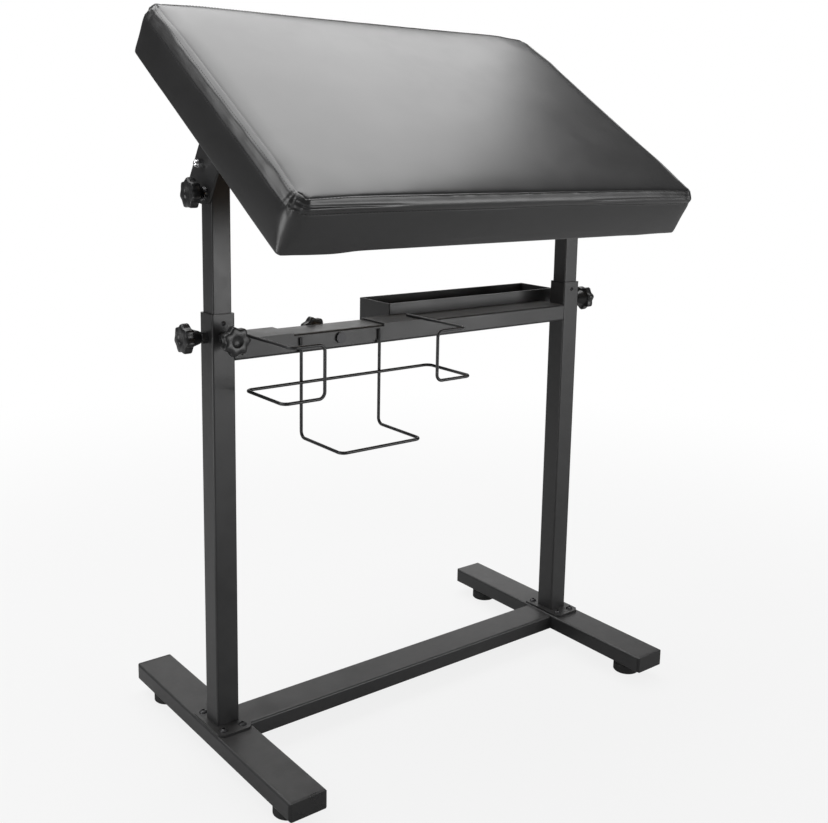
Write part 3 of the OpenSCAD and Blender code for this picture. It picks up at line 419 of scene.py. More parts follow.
finishes = {
    "powderCoat": {
        "color": (0.014, 0.014, 0.0145), "toneColor": (0.020, 0.020, 0.0205), "markScale": 7, "smooth": 0.30,
        "rough": 0.42, "dust": 0.10, "grainScale": 900, "grainSoftness": 0.45, "bumpStrength": 0.25,
        "bumpDepth": 0.0002},
    "wireCoat": {
        "color": (0.010, 0.010, 0.011), "toneColor": (0.016, 0.016, 0.017), "markScale": 12, "smooth": 0.28,
        "rough": 0.4, "dust": 0.06, "grainScale": 1200, "grainSoftness": 0.5, "bumpStrength": 0.15,
        "bumpDepth": 0.0001},
    "mouldedPlastic": {
        "color": (0.006, 0.006, 0.0064), "toneColor": (0.010, 0.010, 0.0104), "markScale": 20, "smooth": 0.24,
        "rough": 0.38, "dust": 0.05, "grainScale": 1500, "grainSoftness": 0.3, "bumpStrength": 0.25,
        "bumpDepth": 0.0001},
    "footRubber": {
        "color": (0.014, 0.014, 0.014), "toneColor": (0.022, 0.022, 0.022), "markScale": 16, "smooth": 0.55,
        "rough": 0.75, "dust": 0.14, "grainScale": 1000, "grainSoftness": 0.6, "bumpStrength": 0.3,
        "bumpDepth": 0.0002, "specular": 0.4},
    "brightSteel": {
        "color": (0.50, 0.50, 0.51), "toneColor": (0.42, 0.42, 0.43), "markScale": 40, "smooth": 0.24,
        "rough": 0.4, "dust": 0.04, "grainScale": 2200, "grainSoftness": 0.7, "bumpStrength": 0.1,
        "bumpDepth": 0.00005, "metallic": 1},
    "blackOxide": {
        "color": (0.030, 0.030, 0.032), "toneColor": (0.045, 0.045, 0.047), "markScale": 40, "smooth": 0.3,
        "rough": 0.45, "dust": 0.05, "grainScale": 2200, "grainSoftness": 0.7, "bumpStrength": 0.1,
        "bumpDepth": 0.00005, "metallic": 0.6},
    "chrome": {
        "color": (0.78, 0.78, 0.79), "toneColor": (0.72, 0.72, 0.73), "markScale": 30, "smooth": 0.06,
        "rough": 0.14, "dust": 0.02, "grainScale": 1500, "grainSoftness": 0.8, "bumpStrength": 0.04,
        "bumpDepth": 0.00003, "metallic": 1},
    "vinyl": {
        "color": (0.012, 0.012, 0.0124), "toneColor": (0.016, 0.016, 0.0164), "markScale": 5, "smooth": 0.29,
        "rough": 0.35, "dust": 0.03, "grainScale": 750, "grainSoftness": 0.35, "bumpStrength": 0.12,
        "bumpDepth": 0.00025, "specular": 0.55, "coat": 0.15, "coatRoughness": 0.3},
    "thread": {
        "color": (0.012, 0.012, 0.012), "toneColor": (0.022, 0.022, 0.022), "markScale": 60, "smooth": 0.5,
        "rough": 0.7, "dust": 0.05, "grainScale": 3000, "grainSoftness": 0.5, "bumpStrength": 0.3,
        "bumpDepth": 0.0001, "specular": 0.3},
    "foam": {
        "color": (0.25, 0.25, 0.26), "toneColor": (0.32, 0.32, 0.33), "markScale": 30, "smooth": 0.85,
        "rough": 0.95, "dust": 0.0, "grainScale": 500, "grainSoftness": 0.2, "bumpStrength": 0.6,
        "bumpDepth": 0.001, "specular": 0.2},
}
plywood = {
    "darkColor": (0.31, 0.19, 0.09), "darkAt": 0.34, "paleColor": (0.50, 0.33, 0.17), "paleAt": 0.66,
    "stretch": (1.2, 22, 22), "grainScale": 9, "grainDetail": 9, "grainDistortion": 0.6,
    "rough": 0.75, "bumpStrength": 0.3, "bumpDepth": 0.0003,
}
materials = {name: coatedMaterial(name, finish) for name, finish in finishes.items()}
materials["plywood"] = plywoodMaterial("plywood", plywood)

finishedNodes = {
    "powderCoat": (
        "left_foot_bar", "right_foot_bar", "cross_bar", "left_flange_plate", "right_flange_plate",
        "left_outer_post", "right_outer_post", "clamp_weld_nuts", "upper_rail", "rail_end_plates",
        "bottle_tray", "left_holder_hook", "right_holder_hook", "holder_back_strap", "left_sliding_post",
        "right_sliding_post", "left_tilt_bracket", "right_tilt_bracket"),
    "wireCoat": ("holder_wire_loop", "holder_wire_cradle"),
    "mouldedPlastic": (
        "foot_bar_end_caps", "left_guide_bush", "right_guide_bush", "sliding_post_caps", "sliding_post_shoes",
        "pivot_spacers", "left_height_knob", "right_height_knob", "front_clamp_knob", "left_tilt_knob",
        "right_tilt_knob", "holder_clamp_knob"),
    "footRubber": (
        "front_left_foot_disc", "front_right_foot_disc", "back_left_foot_disc", "back_right_foot_disc"),
    "brightSteel": (
        "flange_thread_inserts", "foot_thread_inserts", "tray_screws", "tray_thread_inserts",
        "tilt_thread_inserts", "bracket_screws", "left_height_stud", "right_height_stud", "front_clamp_stud",
        "front_left_foot_stem", "front_right_foot_stem", "back_left_foot_stem", "back_right_foot_stem"),
    "blackOxide": ("flange_bolts", "guide_bush_screws", "holder_clamp_bolt"),
    "chrome": ("pivot_bolts", "pivot_dome_nuts", "tilt_lock_washers", "left_tilt_stud", "right_tilt_stud"),
    "plywood": ("cushion_board",),
    "foam": ("cushion_foam",),
    "vinyl": ("cushion_cover",),
}
nodeFinish = {name: finish for finish, names in finishedNodes.items() for name in names}
for name, piece in nodes.items():
    piece.data.materials.clear()
    piece.data.materials.append(materials[nodeFinish[name]])
print("materials set on", len(nodes), "nodes")

cushion = {
    "width": 0.625, "depth": 0.402, "height": 0.070,
    "crown": 0.006, "crownPower": 2.6,    # rise in the middle of the top, and how flat it stays there
    "cornerRadius": 0.019,   # seen from above, at the top
    "footRadius": 0.006,     # the same where the cover is folded under the board
    "squareTo": 0.032,       # height up to which the lower corners are squarer
    "tightCorners": 0.5,     # how much squarer the back left and front right corners are pulled
    "edgeRadius": 0.003,     # at the seam round the top
    "bottomRadius": 0.002,
    "drawIn": 0.0015,        # how far the sides pull in between the corners
    "drawnFrom": 0.03,       # height over which they begin to
    "rimWidth": 0.04,        # how far in from the outline the top moves with the sides
    "gridStep": 0.0125,
    "levels": (0.005, 0.014, 0.026, 0.038, 0.046, 0.0495, 0.0540, 0.0565, 0.0590, 0.0615, 0.0640),
    "lowerSeam": 0.0518,
    # height and how far the cover stands out there, on the long sides and then on the ends and corners
    "section": (
        (0.0, 0.0006), (0.005, 0.0012), (0.014, 0.0019), (0.026, 0.0024), (0.038, 0.0024), (0.046, 0.0021),
        (0.0518, 0.0016), (0.0540, 0.0024), (0.0565, 0.0031), (0.0590, 0.0033), (0.0615, 0.0026),
        (0.0640, 0.0009), (0.0670, -0.0018), (0.070, -0.0020)),
    "endSection": (
        (0.0, 0.0006), (0.005, 0.0012), (0.014, 0.0019), (0.026, 0.0024), (0.038, 0.0026), (0.046, 0.0025),
        (0.0518, 0.0019), (0.0540, 0.0015), (0.0565, 0.0008), (0.0590, -0.0002), (0.0615, -0.0015),
        (0.0640, -0.0031), (0.0670, -0.0053), (0.070, -0.0078)),
    "longSideFrom": 0.75,    # how squarely a place must face front or back to count as a long side
    "pressure": 4.0, "fillFrames": 20,
    "swellLimit": 0.0018,    # the furthest that the filling may push the cover
    # where the cover is fixed while it fills: near the board, and beside the seams by a share
    "heldBelow": 0.006, "heldTop": 0.006, "heldSeam": 0.002, "heldBeside": 0.003, "heldShare": 0.85,
    "seamHalf": 0.0013, "topSeamDepth": 0.0018, "lowerSeamDepth": 0.0007,
    "endSeamShare": 0.15,    # depth of the lower seam on the ends, where it is nearly pulled flat
    "topSeamHeights": (0.056, 0.064),    # between the two seams, where one depth gives way to the other
    "seamWander": 0.0014, "seamWaves": 7,    # the lower seam isn't quite straight
    "wanderFrom": 0.030, "wanderTo": 0.064,
    "plainBelow": 0.010,     # no creases under this height
    "creaseInset": (0.004, 0.010),    # the side's creases fade over this distance from the outline
    "rollCreases": ((0.0608, 0.0011), (0.0565, 0.0007)),    # height and depth of the long creases in the roll
    "creaseWander": 0.0018, "creaseWidth": 0.0013, "creaseWaves": 8,
    "creaseBreaks": 6, "creaseFrom": -0.12, "creaseTo": 0.25,    # where along the side a crease fades
    "endCrease": 0.10,       # share of a crease's depth on the ends
    # angle round the corner, depth and slope of each fold
    "cornerFolds": ((0.28, 0.0009, 5), (0.62, 0.0012, -7), (0.92, 0.0010, 6), (1.25, 0.0008, -5)),
    "foldWidth": 0.10, "foldWander": 0.10, "foldHeight": 0.062, "otherFolds": 0.55,    # front left is deepest
    "foldUnder": 0.012, "foldOver": 0.006, "foldInset": (0.003, 0.012),    # beside the lower seam and the rim
    "cornerReach": 0.012, "cornerOffset": 0.006,
    "unevenDepth": 0.0004, "unevenWaves": 9,
    "puckerDepth": 0.0004, "puckerWaves": (60, 60, 25), "endPucker": 1.3, "sidePucker": 0.5,
    "puckerOver": 0.002, "puckerFull": 0.060, "puckerFade": (0.0685, 0.0705),
    "rimPucker": 0.6, "rimWaves": 90, "rimRise": (0.002, 0.005), "rimFall": (0.005, 0.014),
    "rimHeights": (0.067, 0.069),
    "cornerDrop": 0.0022, "backRightDrop": 0.0036,    # the top seam runs down a little at the corners
    "dropNear": 0.01, "dropFar": 0.08, "dropFrom": 0.045,    # from the corner, and from what height
    "lipDepth": 0.0034,      # folded cover bulging below the board
    "lipAt": 0.070,          # its distance from the corner
    "lipFade": 0.032, "lipHeight": 0.022, "lipAtCorner": 0.35, "lipUneven": 0.25, "lipWaves": 6,
    "lipEnds": 0.03, "lipEndCut": 0.85,     # the bulge is nearly gone this near the ends
    "lipTightFrom": 0.15, "lipTightTo": 0.30, "lipTightCut": 1.2,    # and pulled up towards the right
    "hemWidth": 0.026, "hemThickness": 0.0009, "hemTuck": 0.002, "hemRagged": 0.002, "hemWaves": 40,
    "underInset": 0.0015,    # the underside is open from here inwards, and the hem closes it
    "shift": 0.005, "rise": 0.022, "tilt": 33.0,
}
cushionPlace = (Matrix.Translation((0, postsY, pivotZ))
                @ Matrix.Rotation(math.radians(cushion["tilt"]), 4, "X")
                @ Matrix.Translation((0, cushion["shift"], cushion["rise"])))


def cushionForm(c):
    bm = bmesh.new()
    bmesh.ops.create_cube(bm, size=1)
    bmesh.ops.scale(bm, vec=(c["width"], c["depth"], c["height"]), verts=bm.verts)
    bmesh.ops.translate(bm, vec=(0, 0, c["height"] / 2), verts=bm.verts)
    upright = [e for e in bm.edges if abs(e.verts[0].co.z - e.verts[1].co.z) > c["height"] / 2]
    bmesh.ops.bevel(bm, geom=upright, affect="EDGES", offset=c["cornerRadius"], segments=8, profile=0.5,
                    material=-1)
    for level, radius in ((c["height"], c["edgeRadius"]), (0, c["bottomRadius"])):
        rim = [e for e in bm.edges if all(abs(v.co.z - level) < 1e-6 for v in e.verts)]
        bmesh.ops.bevel(bm, geom=rim, affect="EDGES", offset=radius, segments=2, profile=0.5, material=-1)
    cuts = [(Vector((0, 0, z)), Vector((0, 0, 1))) for z in c["levels"] + (c["lowerSeam"],)]
    for axis, size in ((0, c["width"]), (1, c["depth"])):
        count = int((size / 2 - c["cornerRadius"]) / c["gridStep"])
        for i in range(-count, count + 1):
            place = Vector((0, 0, 0))
            place[axis] = (size / 2 - c["cornerRadius"]) * i / count
            direction = Vector((0, 0, 0))
            direction[axis] = 1
            cuts.append((place, direction))
    for place, direction in cuts:
        bmesh.ops.bisect_plane(bm, geom=bm.verts[:] + bm.edges[:] + bm.faces[:], dist=1e-6, plane_co=place,
                               plane_no=direction)
    return bm


def cornerCentre(c):
    return c["width"] / 2 - c["cornerRadius"], c["depth"] / 2 - c["cornerRadius"]


def outlineAt(x, y, c):
    # distance inwards from the cushion's outline, and the direction outwards
    farX, farY = cornerCentre(c)
    pastX, pastY = abs(x) - farX, abs(y) - farY
    if pastX > 0 and pastY > 0:
        reach = math.hypot(pastX, pastY)
        out = Vector((math.copysign(pastX / reach, x), math.copysign(pastY / reach, y), 0))
        return c["cornerRadius"] - reach, out
    if pastX > pastY:
        return c["cornerRadius"] - pastX, Vector((math.copysign(1, x), 0, 0))
    return c["cornerRadius"] - pastY, Vector((0, math.copysign(1, y), 0))


def fromCorner(x, y, c):
    return math.hypot(c["width"] / 2 - abs(x), c["depth"] / 2 - abs(y))


def outAt(z, pairs):
    for (z0, out0), (z1, out1) in zip(pairs, pairs[1:]):
        if z <= z1:
            return out0 + (out1 - out0) * smoothStep(z0, z1, z)
    return pairs[-1][1]


def longSideShare(out, c):
    return smoothStep(c["longSideFrom"], 1.0, abs(out.y))


def sectionOut(z, out, c):
    longSide = longSideShare(out, c)
    return outAt(z, c["section"]) * longSide + outAt(z, c["endSection"]) * (1 - longSide)


def seamWander(x, y, c):
    return c["seamWander"] * noise.noise(Vector((x * c["seamWaves"], y * c["seamWaves"], 3.1)))


def lipDrop(x, y, c):
    # deepest a hand's width from the corners, where the folded cover lies under the board's edge
    distance = fromCorner(x, y, c)
    waves = noise.noise(Vector((x * c["lipWaves"], y * c["lipWaves"], 8.4)))
    uneven = 1 - c["lipUneven"] + c["lipUneven"] * waves
    rising = c["lipAtCorner"] + (1 - c["lipAtCorner"]) * smoothStep(0.0, c["lipAt"], distance)
    share = rising * (1 - smoothStep(c["lipAt"], c["lipAt"] + c["lipFade"], distance))
    onEnd = smoothStep(c["width"] / 2 - c["lipEnds"], c["width"] / 2, abs(x))
    tight = smoothStep(c["lipTightFrom"], c["lipTightTo"], x)
    return c["lipDepth"] * uneven * share * (1 - c["lipEndCut"] * onEnd) * (1 - c["lipTightCut"] * tight)


def shapeCushion(bm, c):
    insideX, insideY = c["width"] / 2 - c["edgeRadius"], c["depth"] / 2 - c["edgeRadius"]
    for vert in bm.verts:
        x, y, z = vert.co
        inset, out = outlineAt(x, y, c)
        near = 1 - smoothStep(0.0, c["rimWidth"], inset)
        if z > c["height"] - 1e-5:
            acrossX = 1 - min(1, abs(x) / insideX) ** c["crownPower"]
            acrossY = 1 - min(1, abs(y) / insideY) ** c["crownPower"]
            vert.co.z += c["crown"] * (acrossX * acrossY)
        vert.co += out * sectionOut(z, out, c) * near
        if abs(out.x) > 1e-4 and abs(out.y) > 1e-4:
            square = Vector((math.copysign(1, x), math.copysign(1, y), 0))
            low = 1 - smoothStep(0.0, c["squareTo"], z)
            squareness = low if x * y > 0 else c["tightCorners"] + (1 - c["tightCorners"]) * low
            vert.co += (square - out) * (c["cornerRadius"] - c["footRadius"]) * squareness * near
        pull = c["drawIn"] * near * smoothStep(0.0, c["drawnFrom"], z)
        if c["depth"] / 2 - abs(y) < c["rimWidth"]:
            vert.co.y -= math.copysign(pull * math.cos(math.pi * x / c["width"]), y)
        if c["width"] / 2 - abs(x) < c["rimWidth"]:
            vert.co.x -= math.copysign(pull * math.cos(math.pi * y / c["depth"]), x)
        vert.co.z -= lipDrop(x, y, c) * (1 - smoothStep(0.0, c["lipHeight"], z))
        drop = c["backRightDrop"] if x > 0 and y > 0 else c["cornerDrop"]
        beside = 1 - smoothStep(c["dropNear"], c["dropFar"], fromCorner(x, y, c))
        vert.co.z -= drop * beside * smoothStep(c["dropFrom"], c["height"], z)
        above = 1 - smoothStep(c["lowerSeam"], c["wanderTo"], z)
        vert.co.z += seamWander(x, y, c) * (smoothStep(c["wanderFrom"], c["lowerSeam"], z) * above)


def swellCushion(piece, c):
    # the filling presses the panels out between the seams
    rest = [v.co.copy() for v in piece.data.vertices]
    held = piece.vertex_groups.new(name="held")
    for v in piece.data.vertices:
        x, y, z = v.co
        atSeam = z > c["height"] - c["heldTop"] or abs(z - c["lowerSeam"]) < c["heldSeam"]
        if z < c["heldBelow"]:
            held.add([v.index], 1.0, "REPLACE")
        elif atSeam and outlineAt(x, y, c)[0] < c["edgeRadius"] + c["heldBeside"]:
            held.add([v.index], c["heldShare"], "REPLACE")
    cloth = piece.modifiers.new("filling", "CLOTH")
    cloth.settings.quality = 6
    cloth.settings.use_pressure = True
    cloth.settings.uniform_pressure_force = c["pressure"]
    cloth.settings.effector_weights.gravity = 0
    cloth.settings.vertex_group_mass = "held"
    cloth.collision_settings.use_collision = False
    for frameNumber in range(1, c["fillFrames"] + 1):
        scene.frame_set(frameNumber)
    applyModifiers(piece)
    scene.frame_set(1)
    for v, start in zip(piece.data.vertices, rest):
        move = v.co - start
        if move.length > 1e-9:
            v.co = start + move.normalized() * c["swellLimit"] * math.tanh(move.length / c["swellLimit"])
    piece.vertex_groups.clear()


def cutSeams(piece, c):
    # each seam becomes a narrow valley
    bm = bmesh.new()
    bm.from_mesh(piece.data)
    seamEdges = [e for e in bm.edges if e.seam]
    fresh = bmesh.ops.bevel(bm, geom=seamEdges, affect="EDGES", offset=c["seamHalf"], segments=2, profile=0.5,
                            material=-1)
    bm.normal_update()
    counts = {}
    for face in fresh["faces"]:
        for vert in face.verts:
            counts[vert] = counts.get(vert, 0) + 1
    for vert in [v for v, count in counts.items() if count >= 4]:    # the middle row of each bevelled seam
        upper = smoothStep(*c["topSeamHeights"], vert.co.z)
        longSide = longSideShare(outlineAt(vert.co.x, vert.co.y, c)[1], c)
        lowDepth = c["lowerSeamDepth"] * (c["endSeamShare"] + (1 - c["endSeamShare"]) * longSide)
        vert.co -= vert.normal * (lowDepth + (c["topSeamDepth"] - lowDepth) * upper)
    bm.to_mesh(piece.data)
    bm.free()


def cornerPlace(x, y, c):
    # angle round a corner from its short side, and a number for which corner it is
    farX, farY = cornerCentre(c)
    reach, offset = c["cornerReach"], c["cornerOffset"]
    if abs(x) < farX - reach or abs(y) < farY - reach:
        return None, 0
    angle = math.atan2(abs(y) - farY + offset, abs(x) - farX + offset)
    return angle, (2 if x > 0 else 0) + (1 if y > 0 else 0)


def wrinkleCushion(piece, c):
    # long creases in the roll, folds round the corners and small puckers along the top seam
    bm = bmesh.new()
    bm.from_mesh(piece.data)
    bm.normal_update()
    uneven, bends, breaks, rimWaves = c["unevenWaves"], c["creaseWaves"], c["creaseBreaks"], c["rimWaves"]
    waveX, waveY, waveZ = c["puckerWaves"]
    for vert in bm.verts:
        x, y, z = vert.co
        if z < c["plainBelow"]:
            continue
        inset, out = outlineAt(x, y, c)
        move = c["unevenDepth"] * noise.noise(Vector((x * uneven, y * uneven, z * uneven)))
        longSide = abs(out.y)
        edge = 1 - smoothStep(*c["creaseInset"], inset)
        for row, (base, depth) in enumerate(c["rollCreases"]):
            bend = noise.noise(Vector((x * bends, y * bends, 11 + row * 7)))
            fading = noise.noise(Vector((x * breaks + row * 3, y * breaks, 20 + row * 9)))
            hollow = math.exp(-((z - (base + c["creaseWander"] * bend)) / c["creaseWidth"]) ** 2)
            present = smoothStep(c["creaseFrom"], c["creaseTo"], fading)
            move -= depth * present * hollow * edge * (c["endCrease"] + (1 - c["endCrease"]) * longSide)
        rising = smoothStep(c["lowerSeam"] + c["puckerOver"], c["puckerFull"], z)
        soft = rising * (1 - smoothStep(*c["puckerFade"], z)) * edge
        share = c["endPucker"] - (c["endPucker"] - c["sidePucker"]) * longSide
        pucker = noise.noise(Vector((x * waveX, y * waveY, z * waveZ)))
        move += c["puckerDepth"] * soft * share * pucker
        rim = smoothStep(*c["rimRise"], inset) * (1 - smoothStep(*c["rimFall"], inset))
        ripple = noise.noise(Vector((x * rimWaves, y * rimWaves, 5)))
        move += c["rimPucker"] * c["puckerDepth"] * (rim * smoothStep(*c["rimHeights"], z)) * ripple
        angle, corner = cornerPlace(x, y, c)
        if angle is not None:
            high = smoothStep(c["lowerSeam"] - c["foldUnder"], c["lowerSeam"] + c["foldOver"], z)
            high *= 1 - smoothStep(*c["foldInset"], inset)
            share = 1.0 if corner == 0 else c["otherFolds"]
            for at, depth, slope in c["cornerFolds"]:
                line = at + c["foldWander"] * math.sin(corner * 2.1 + at * 9) + slope * (z - c["foldHeight"])
                move -= depth * high * share * math.exp(-((angle - line) / c["foldWidth"]) ** 2)
        vert.co += vert.normal * move
    bm.to_mesh(piece.data)
    bm.free()


def wrapHem(bm, c):
    # the cover turns under the board and ends in a cut edge all round
    hem = [e for e in bm.edges if e.is_boundary]
    waves = c["hemWaves"]
    turns = ((0.0, -c["hemThickness"]), (c["hemWidth"], 0.0), (0.0, c["hemThickness"] + c["hemTuck"]))
    for shrink, drop in turns:
        grown = bmesh.ops.extrude_edge_only(bm, edges=hem)
        for vert in [g for g in grown["geom"] if isinstance(g, bmesh.types.BMVert)]:
            x, y, z = vert.co
            if shrink > 0:
                inwards = shrink + c["hemRagged"] * noise.noise(Vector((x * waves, y * waves, 0)))
                vert.co = Vector((x * (1 - inwards / (c["width"] / 2)), y * (1 - inwards / (c["depth"] / 2)),
                                  -c["hemThickness"]))
            vert.co.z += drop
        hem = [g for g in grown["geom"] if isinstance(g, bmesh.types.BMEdge)]
    bmesh.ops.contextual_create(bm, geom=hem)
    bmesh.ops.recalc_face_normals(bm, faces=bm.faces)


def outlinePath(c, inset, step):
    # evenly spaced places round the cushion, each with the direction outwards
    farX, farY = cornerCentre(c)
    trail = []
    for turn, (cornerX, cornerY) in enumerate(((farX, farY), (-farX, farY), (-farX, -farY), (farX, -farY))):
        for i in range(17):
            angle = math.pi / 2 * (turn + i / 16)
            out = Vector((math.cos(angle), math.sin(angle), 0))
            trail.append((Vector((cornerX, cornerY, 0)) + out * (c["cornerRadius"] - inset), out))
    trail.append(trail[0])
    runs = [(b[0] - a[0]).length for a, b in zip(trail, trail[1:])]
    count = round(sum(runs) / step)
    spacing = sum(runs) / count
    places, travelled = [], 0.0
    for (a, b), run in zip(zip(trail, trail[1:]), runs):
        while len(places) < count and len(places) * spacing < travelled + run:
            share = (len(places) * spacing - travelled) / run
            places.append((a[0].lerp(b[0], share), a[1].lerp(b[1], share).normalized()))
        travelled += run
    return places


def buildCushion(c):
    bm = cushionForm(c)
    for edge in bm.edges:
        flat = all(abs(v.co.z - c["height"]) < 1e-5 for v in edge.verts)
        rim = all(abs(outlineAt(v.co.x, v.co.y, c)[0] - c["edgeRadius"]) < 2e-4 for v in edge.verts)
        lower = all(abs(v.co.z - c["lowerSeam"]) < 1e-5 for v in edge.verts)
        edge.seam = (flat and rim) or lower
    shapeCushion(bm, c)
    under = [f for f in bm.faces if f.normal.z < -0.9
             and all(outlineAt(v.co.x, v.co.y, c)[0] > c["underInset"] for v in f.verts)]
    bmesh.ops.delete(bm, geom=under, context="FACES")
    piece = finishMesh(bm, "cushionCover")
    swellCushion(piece, c)
    cutSeams(piece, c)
    bm = bmesh.new()
    bm.from_mesh(piece.data)
    wrapHem(bm, c)
    bm.to_mesh(piece.data)
    bm.free()
    finer = piece.modifiers.new("finer", "SUBSURF")
    finer.levels = finer.render_levels = 2
    applyModifiers(piece)
    wrinkleCushion(piece, c)
    piece.data.materials.append(materials["vinyl"])
    piece.data.polygons.foreach_set("use_smooth", [True] * len(piece.data.polygons))
    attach(piece, "arm_rest")
    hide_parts("cushion_cover", "cushion_foam")
    return piece


def repeatShape(name, template, places, sharpAngle=None):
    # one mesh with a copy of the small shape at each place
    template.verts.index_update()
    shape = [v.co.copy() for v in template.verts]
    sides = [[v.index for v in f.verts] for f in template.faces]
    template.free()
    mesh = bpy.data.meshes.new(name)
    mesh.from_pydata([turn @ spot for turn in places for spot in shape], [],
                     [[i + n * len(shape) for i in side] for n in range(len(places)) for side in sides])
    bm = bmesh.new()
    bm.from_mesh(mesh)
    bpy.data.meshes.remove(mesh)
    return finishMesh(bm, name, sharpAngle=sharpAngle)


def turnedTo(place, along, side, up, sizes):
    turn = Matrix((along, side, up)).transposed().to_4x4()
    return Matrix.Translation(place) @ turn @ Matrix.Diagonal(tuple(sizes) + (1,))


stitches = {
    "pitch": 0.0042, "length": 0.0029, "thick": 0.00042, "sunk": 0.0001,
    "topTilt": 0.9,         # the top row is looked for this far above level, in radians
    "searchFrom": 0.02,
}


def buildStitching(surface, c, s):
    # one row of thread in each seam, laid on the finished cover
    places = []
    for level, tilt in ((c["height"], s["topTilt"]), (c["lowerSeam"], 0.0)):
        for place, out in outlinePath(c, 0.0, s["pitch"]):
            towards = (out * math.cos(tilt) + Vector((0, 0, math.sin(tilt)))).normalized()
            start = place - out * (c["edgeRadius"] if tilt else 0) + Vector((0, 0, level))
            if not tilt:
                start.z += seamWander(place.x, place.y, c)
            hit, normal = surface.ray_cast(start + towards * s["searchFrom"], -towards)[:2]
            if hit is None:
                continue
            side = normal.cross(out.cross(Vector((0, 0, 1)))).normalized()
            places.append(turnedTo(hit - normal * s["sunk"], side.cross(normal).normalized(), side, normal,
                                   (s["length"] / 2, s["thick"], s["thick"])))
    bm = bmesh.new()
    bmesh.ops.create_uvsphere(bm, u_segments=6, v_segments=5, radius=1)
    piece = repeatShape("coverStitching", bm, [cushionPlace @ place for place in places])
    piece.data.materials.append(materials["thread"])
    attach(piece, "arm_rest")


staples = {
    "spacing": 0.030, "inset": 0.019, "crown": 0.010, "wire": 0.0011, "height": 0.0008, "rounding": 0.22,
    "crooked": 0.25,
    "bracketX": 0.26, "bracketFront": -0.095, "bracketBack": 0.055,    # no staples beside the tilt brackets
}


def buildStaples(c, s):
    # staples through the cover's turned edge
    places = []
    for place, out in outlinePath(c, s["inset"], s["spacing"]):
        if abs(place.x) > s["bracketX"] and s["bracketFront"] < place.y < s["bracketBack"]:
            continue
        along = (out.cross(Vector((0, 0, 1))) + out * s["crooked"] * noise.noise(place * 60)).normalized()
        up = Vector((0, 0, 1))
        places.append(turnedTo(place - up * 2 * c["hemThickness"], along, up.cross(along), up, (1, 1, 1)))
    bm = bmesh.new()
    bmesh.ops.create_cube(bm, size=1, matrix=Matrix.Diagonal((s["crown"], s["wire"], s["height"], 1)))
    bmesh.ops.bevel(bm, geom=bm.edges[:], affect="EDGES", offset=s["wire"] * s["rounding"], segments=1,
                    profile=0.5, material=-1)
    piece = repeatShape("coverStaples", bm, [cushionPlace @ place for place in places], sharpAngle=60)
    piece.data.materials.append(materials["brightSteel"])
    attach(piece, "arm_rest")


cushionPiece = buildCushion(cushion)
coverSurface = bvhtree.BVHTree.FromPolygons([v.co for v in cushionPiece.data.vertices],
                                            [p.vertices[:] for p in cushionPiece.data.polygons])
buildStitching(coverSurface, cushion, stitches)
buildStaples(cushion, staples)
cushionPiece.data.transform(cushionPlace)
print("cushion built with", len(cushionPiece.data.polygons), "faces")

starKnobs = {
    "radius": 0.018, "headThickness": 0.011, "lobes": 7, "stepsPerLobe": 10,
    "lobeDepth": 0.17, "lobesFrom": 0.012, "lobePower": 0.8,    # the hollows between the lobes
    "neckBase": 0.0076, "neckTop": 0.0112, "neckFlute": 0.05, "bore": 0.0045,
    "edge": 0.0022, "edgeSoftness": 0.3, "neckRounding": 0.0006, "neckFlare": 0.001,
    "dish": 0.0065, "dishDepth": 0.001, "dishRounding": 0.0012, "dishLip": 0.0003, "dishSlope": 0.0006,
    # the body that each knob rides, the joint that it turns on and the length of its neck
    "knobs": {
        "left_height_knob": ("left_height_clamp", "left_height_knob_turn", 0.013),
        "right_height_knob": ("right_height_clamp", "right_height_knob_turn", 0.013),
        "front_clamp_knob": ("front_clamp", "front_knob_turn", 0.013),
        "left_tilt_knob": ("left_tilt_clamp", "left_tilt_knob_turn", 0.007),
        "right_tilt_knob": ("right_tilt_clamp", "right_tilt_knob_turn", 0.007),
        "holder_clamp_knob": ("holder_clamp", "holder_knob_turn", 0.007),
    },
}


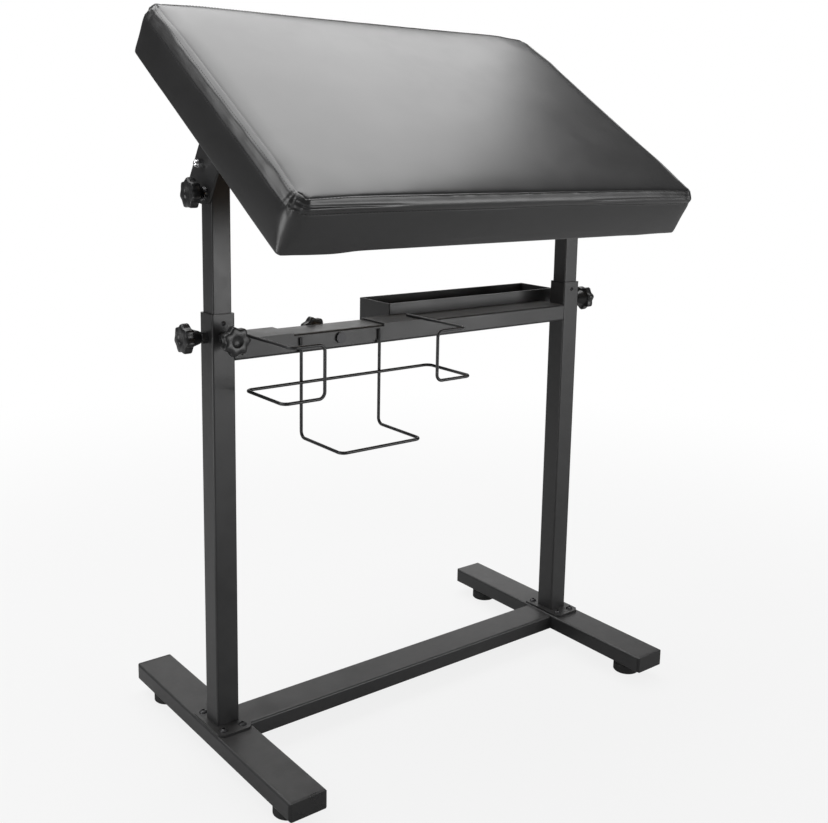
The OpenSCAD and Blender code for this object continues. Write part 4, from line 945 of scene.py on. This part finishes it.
def buildKnob(node, body, joint, neck, k):
    axis = Vector(joints[joint]["axis"])
    low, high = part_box(node)
    centre = (low + high) / 2
    ends = sorted((low.dot(axis), high.dot(axis)))
    start = centre - axis * centre.dot(axis) + axis * ends[0]
    head, edge, radius, dish = k["headThickness"], k["edge"], k["radius"], k["dish"]
    soft, top, flare = edge * k["edgeSoftness"], neck + head, k["neckFlare"]
    profile = [
        (k["bore"], 0), (k["neckBase"] - k["neckRounding"], 0), (k["neckBase"], k["neckRounding"]),
        (k["neckTop"], neck - flare), (k["neckTop"] + flare, neck),
        (radius - edge, neck), (radius - soft, neck + soft), (radius, neck + edge),
        (radius, top - edge), (radius - soft, top - soft), (radius - edge, top),
        (dish + k["dishRounding"], top), (dish, top - k["dishLip"]),
        (dish - k["dishSlope"], top - k["dishDepth"]), (0.0, top - k["dishDepth"])]
    bm = bmesh.new()
    verts = [bm.verts.new((r, 0, z)) for r, z in profile]
    edges = [bm.edges.new(pair) for pair in zip(verts, verts[1:])]
    bmesh.ops.spin(bm, geom=verts + edges, cent=(0, 0, 0), axis=(0, 0, 1), angle=2 * math.pi,
                   steps=k["lobes"] * k["stepsPerLobe"], use_merge=True)
    bmesh.ops.remove_doubles(bm, verts=bm.verts, dist=1e-6)
    rim = [e for e in bm.edges if e.is_boundary]
    bmesh.ops.contextual_create(bm, geom=rim)
    for vert in bm.verts:
        r = math.hypot(vert.co.x, vert.co.y)
        if r > 1e-6:
            wave = (1 - math.cos(k["lobes"] * math.atan2(vert.co.y, vert.co.x))) / 2
            depth = k["lobeDepth"] * smoothStep(k["lobesFrom"], radius, r) * wave ** k["lobePower"]
            if vert.co.z < neck - 0.0005:
                depth = k["neckFlute"] * wave
            vert.co.x *= 1 - depth
            vert.co.y *= 1 - depth
    bmesh.ops.recalc_face_normals(bm, faces=bm.faces)
    turn = Vector((0, 0, 1)).rotation_difference(axis).to_matrix().to_4x4()
    bmesh.ops.transform(bm, matrix=Matrix.Translation(start) @ turn, verts=bm.verts)
    piece = finishMesh(bm, node + "Star", sharpAngle=50)
    piece.data.materials.append(materials["mouldedPlastic"])
    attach(piece, body)
    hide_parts(node)


for knobNode, knobRow in starKnobs["knobs"].items():
    buildKnob(knobNode, *knobRow, starKnobs)
print("star knobs built")
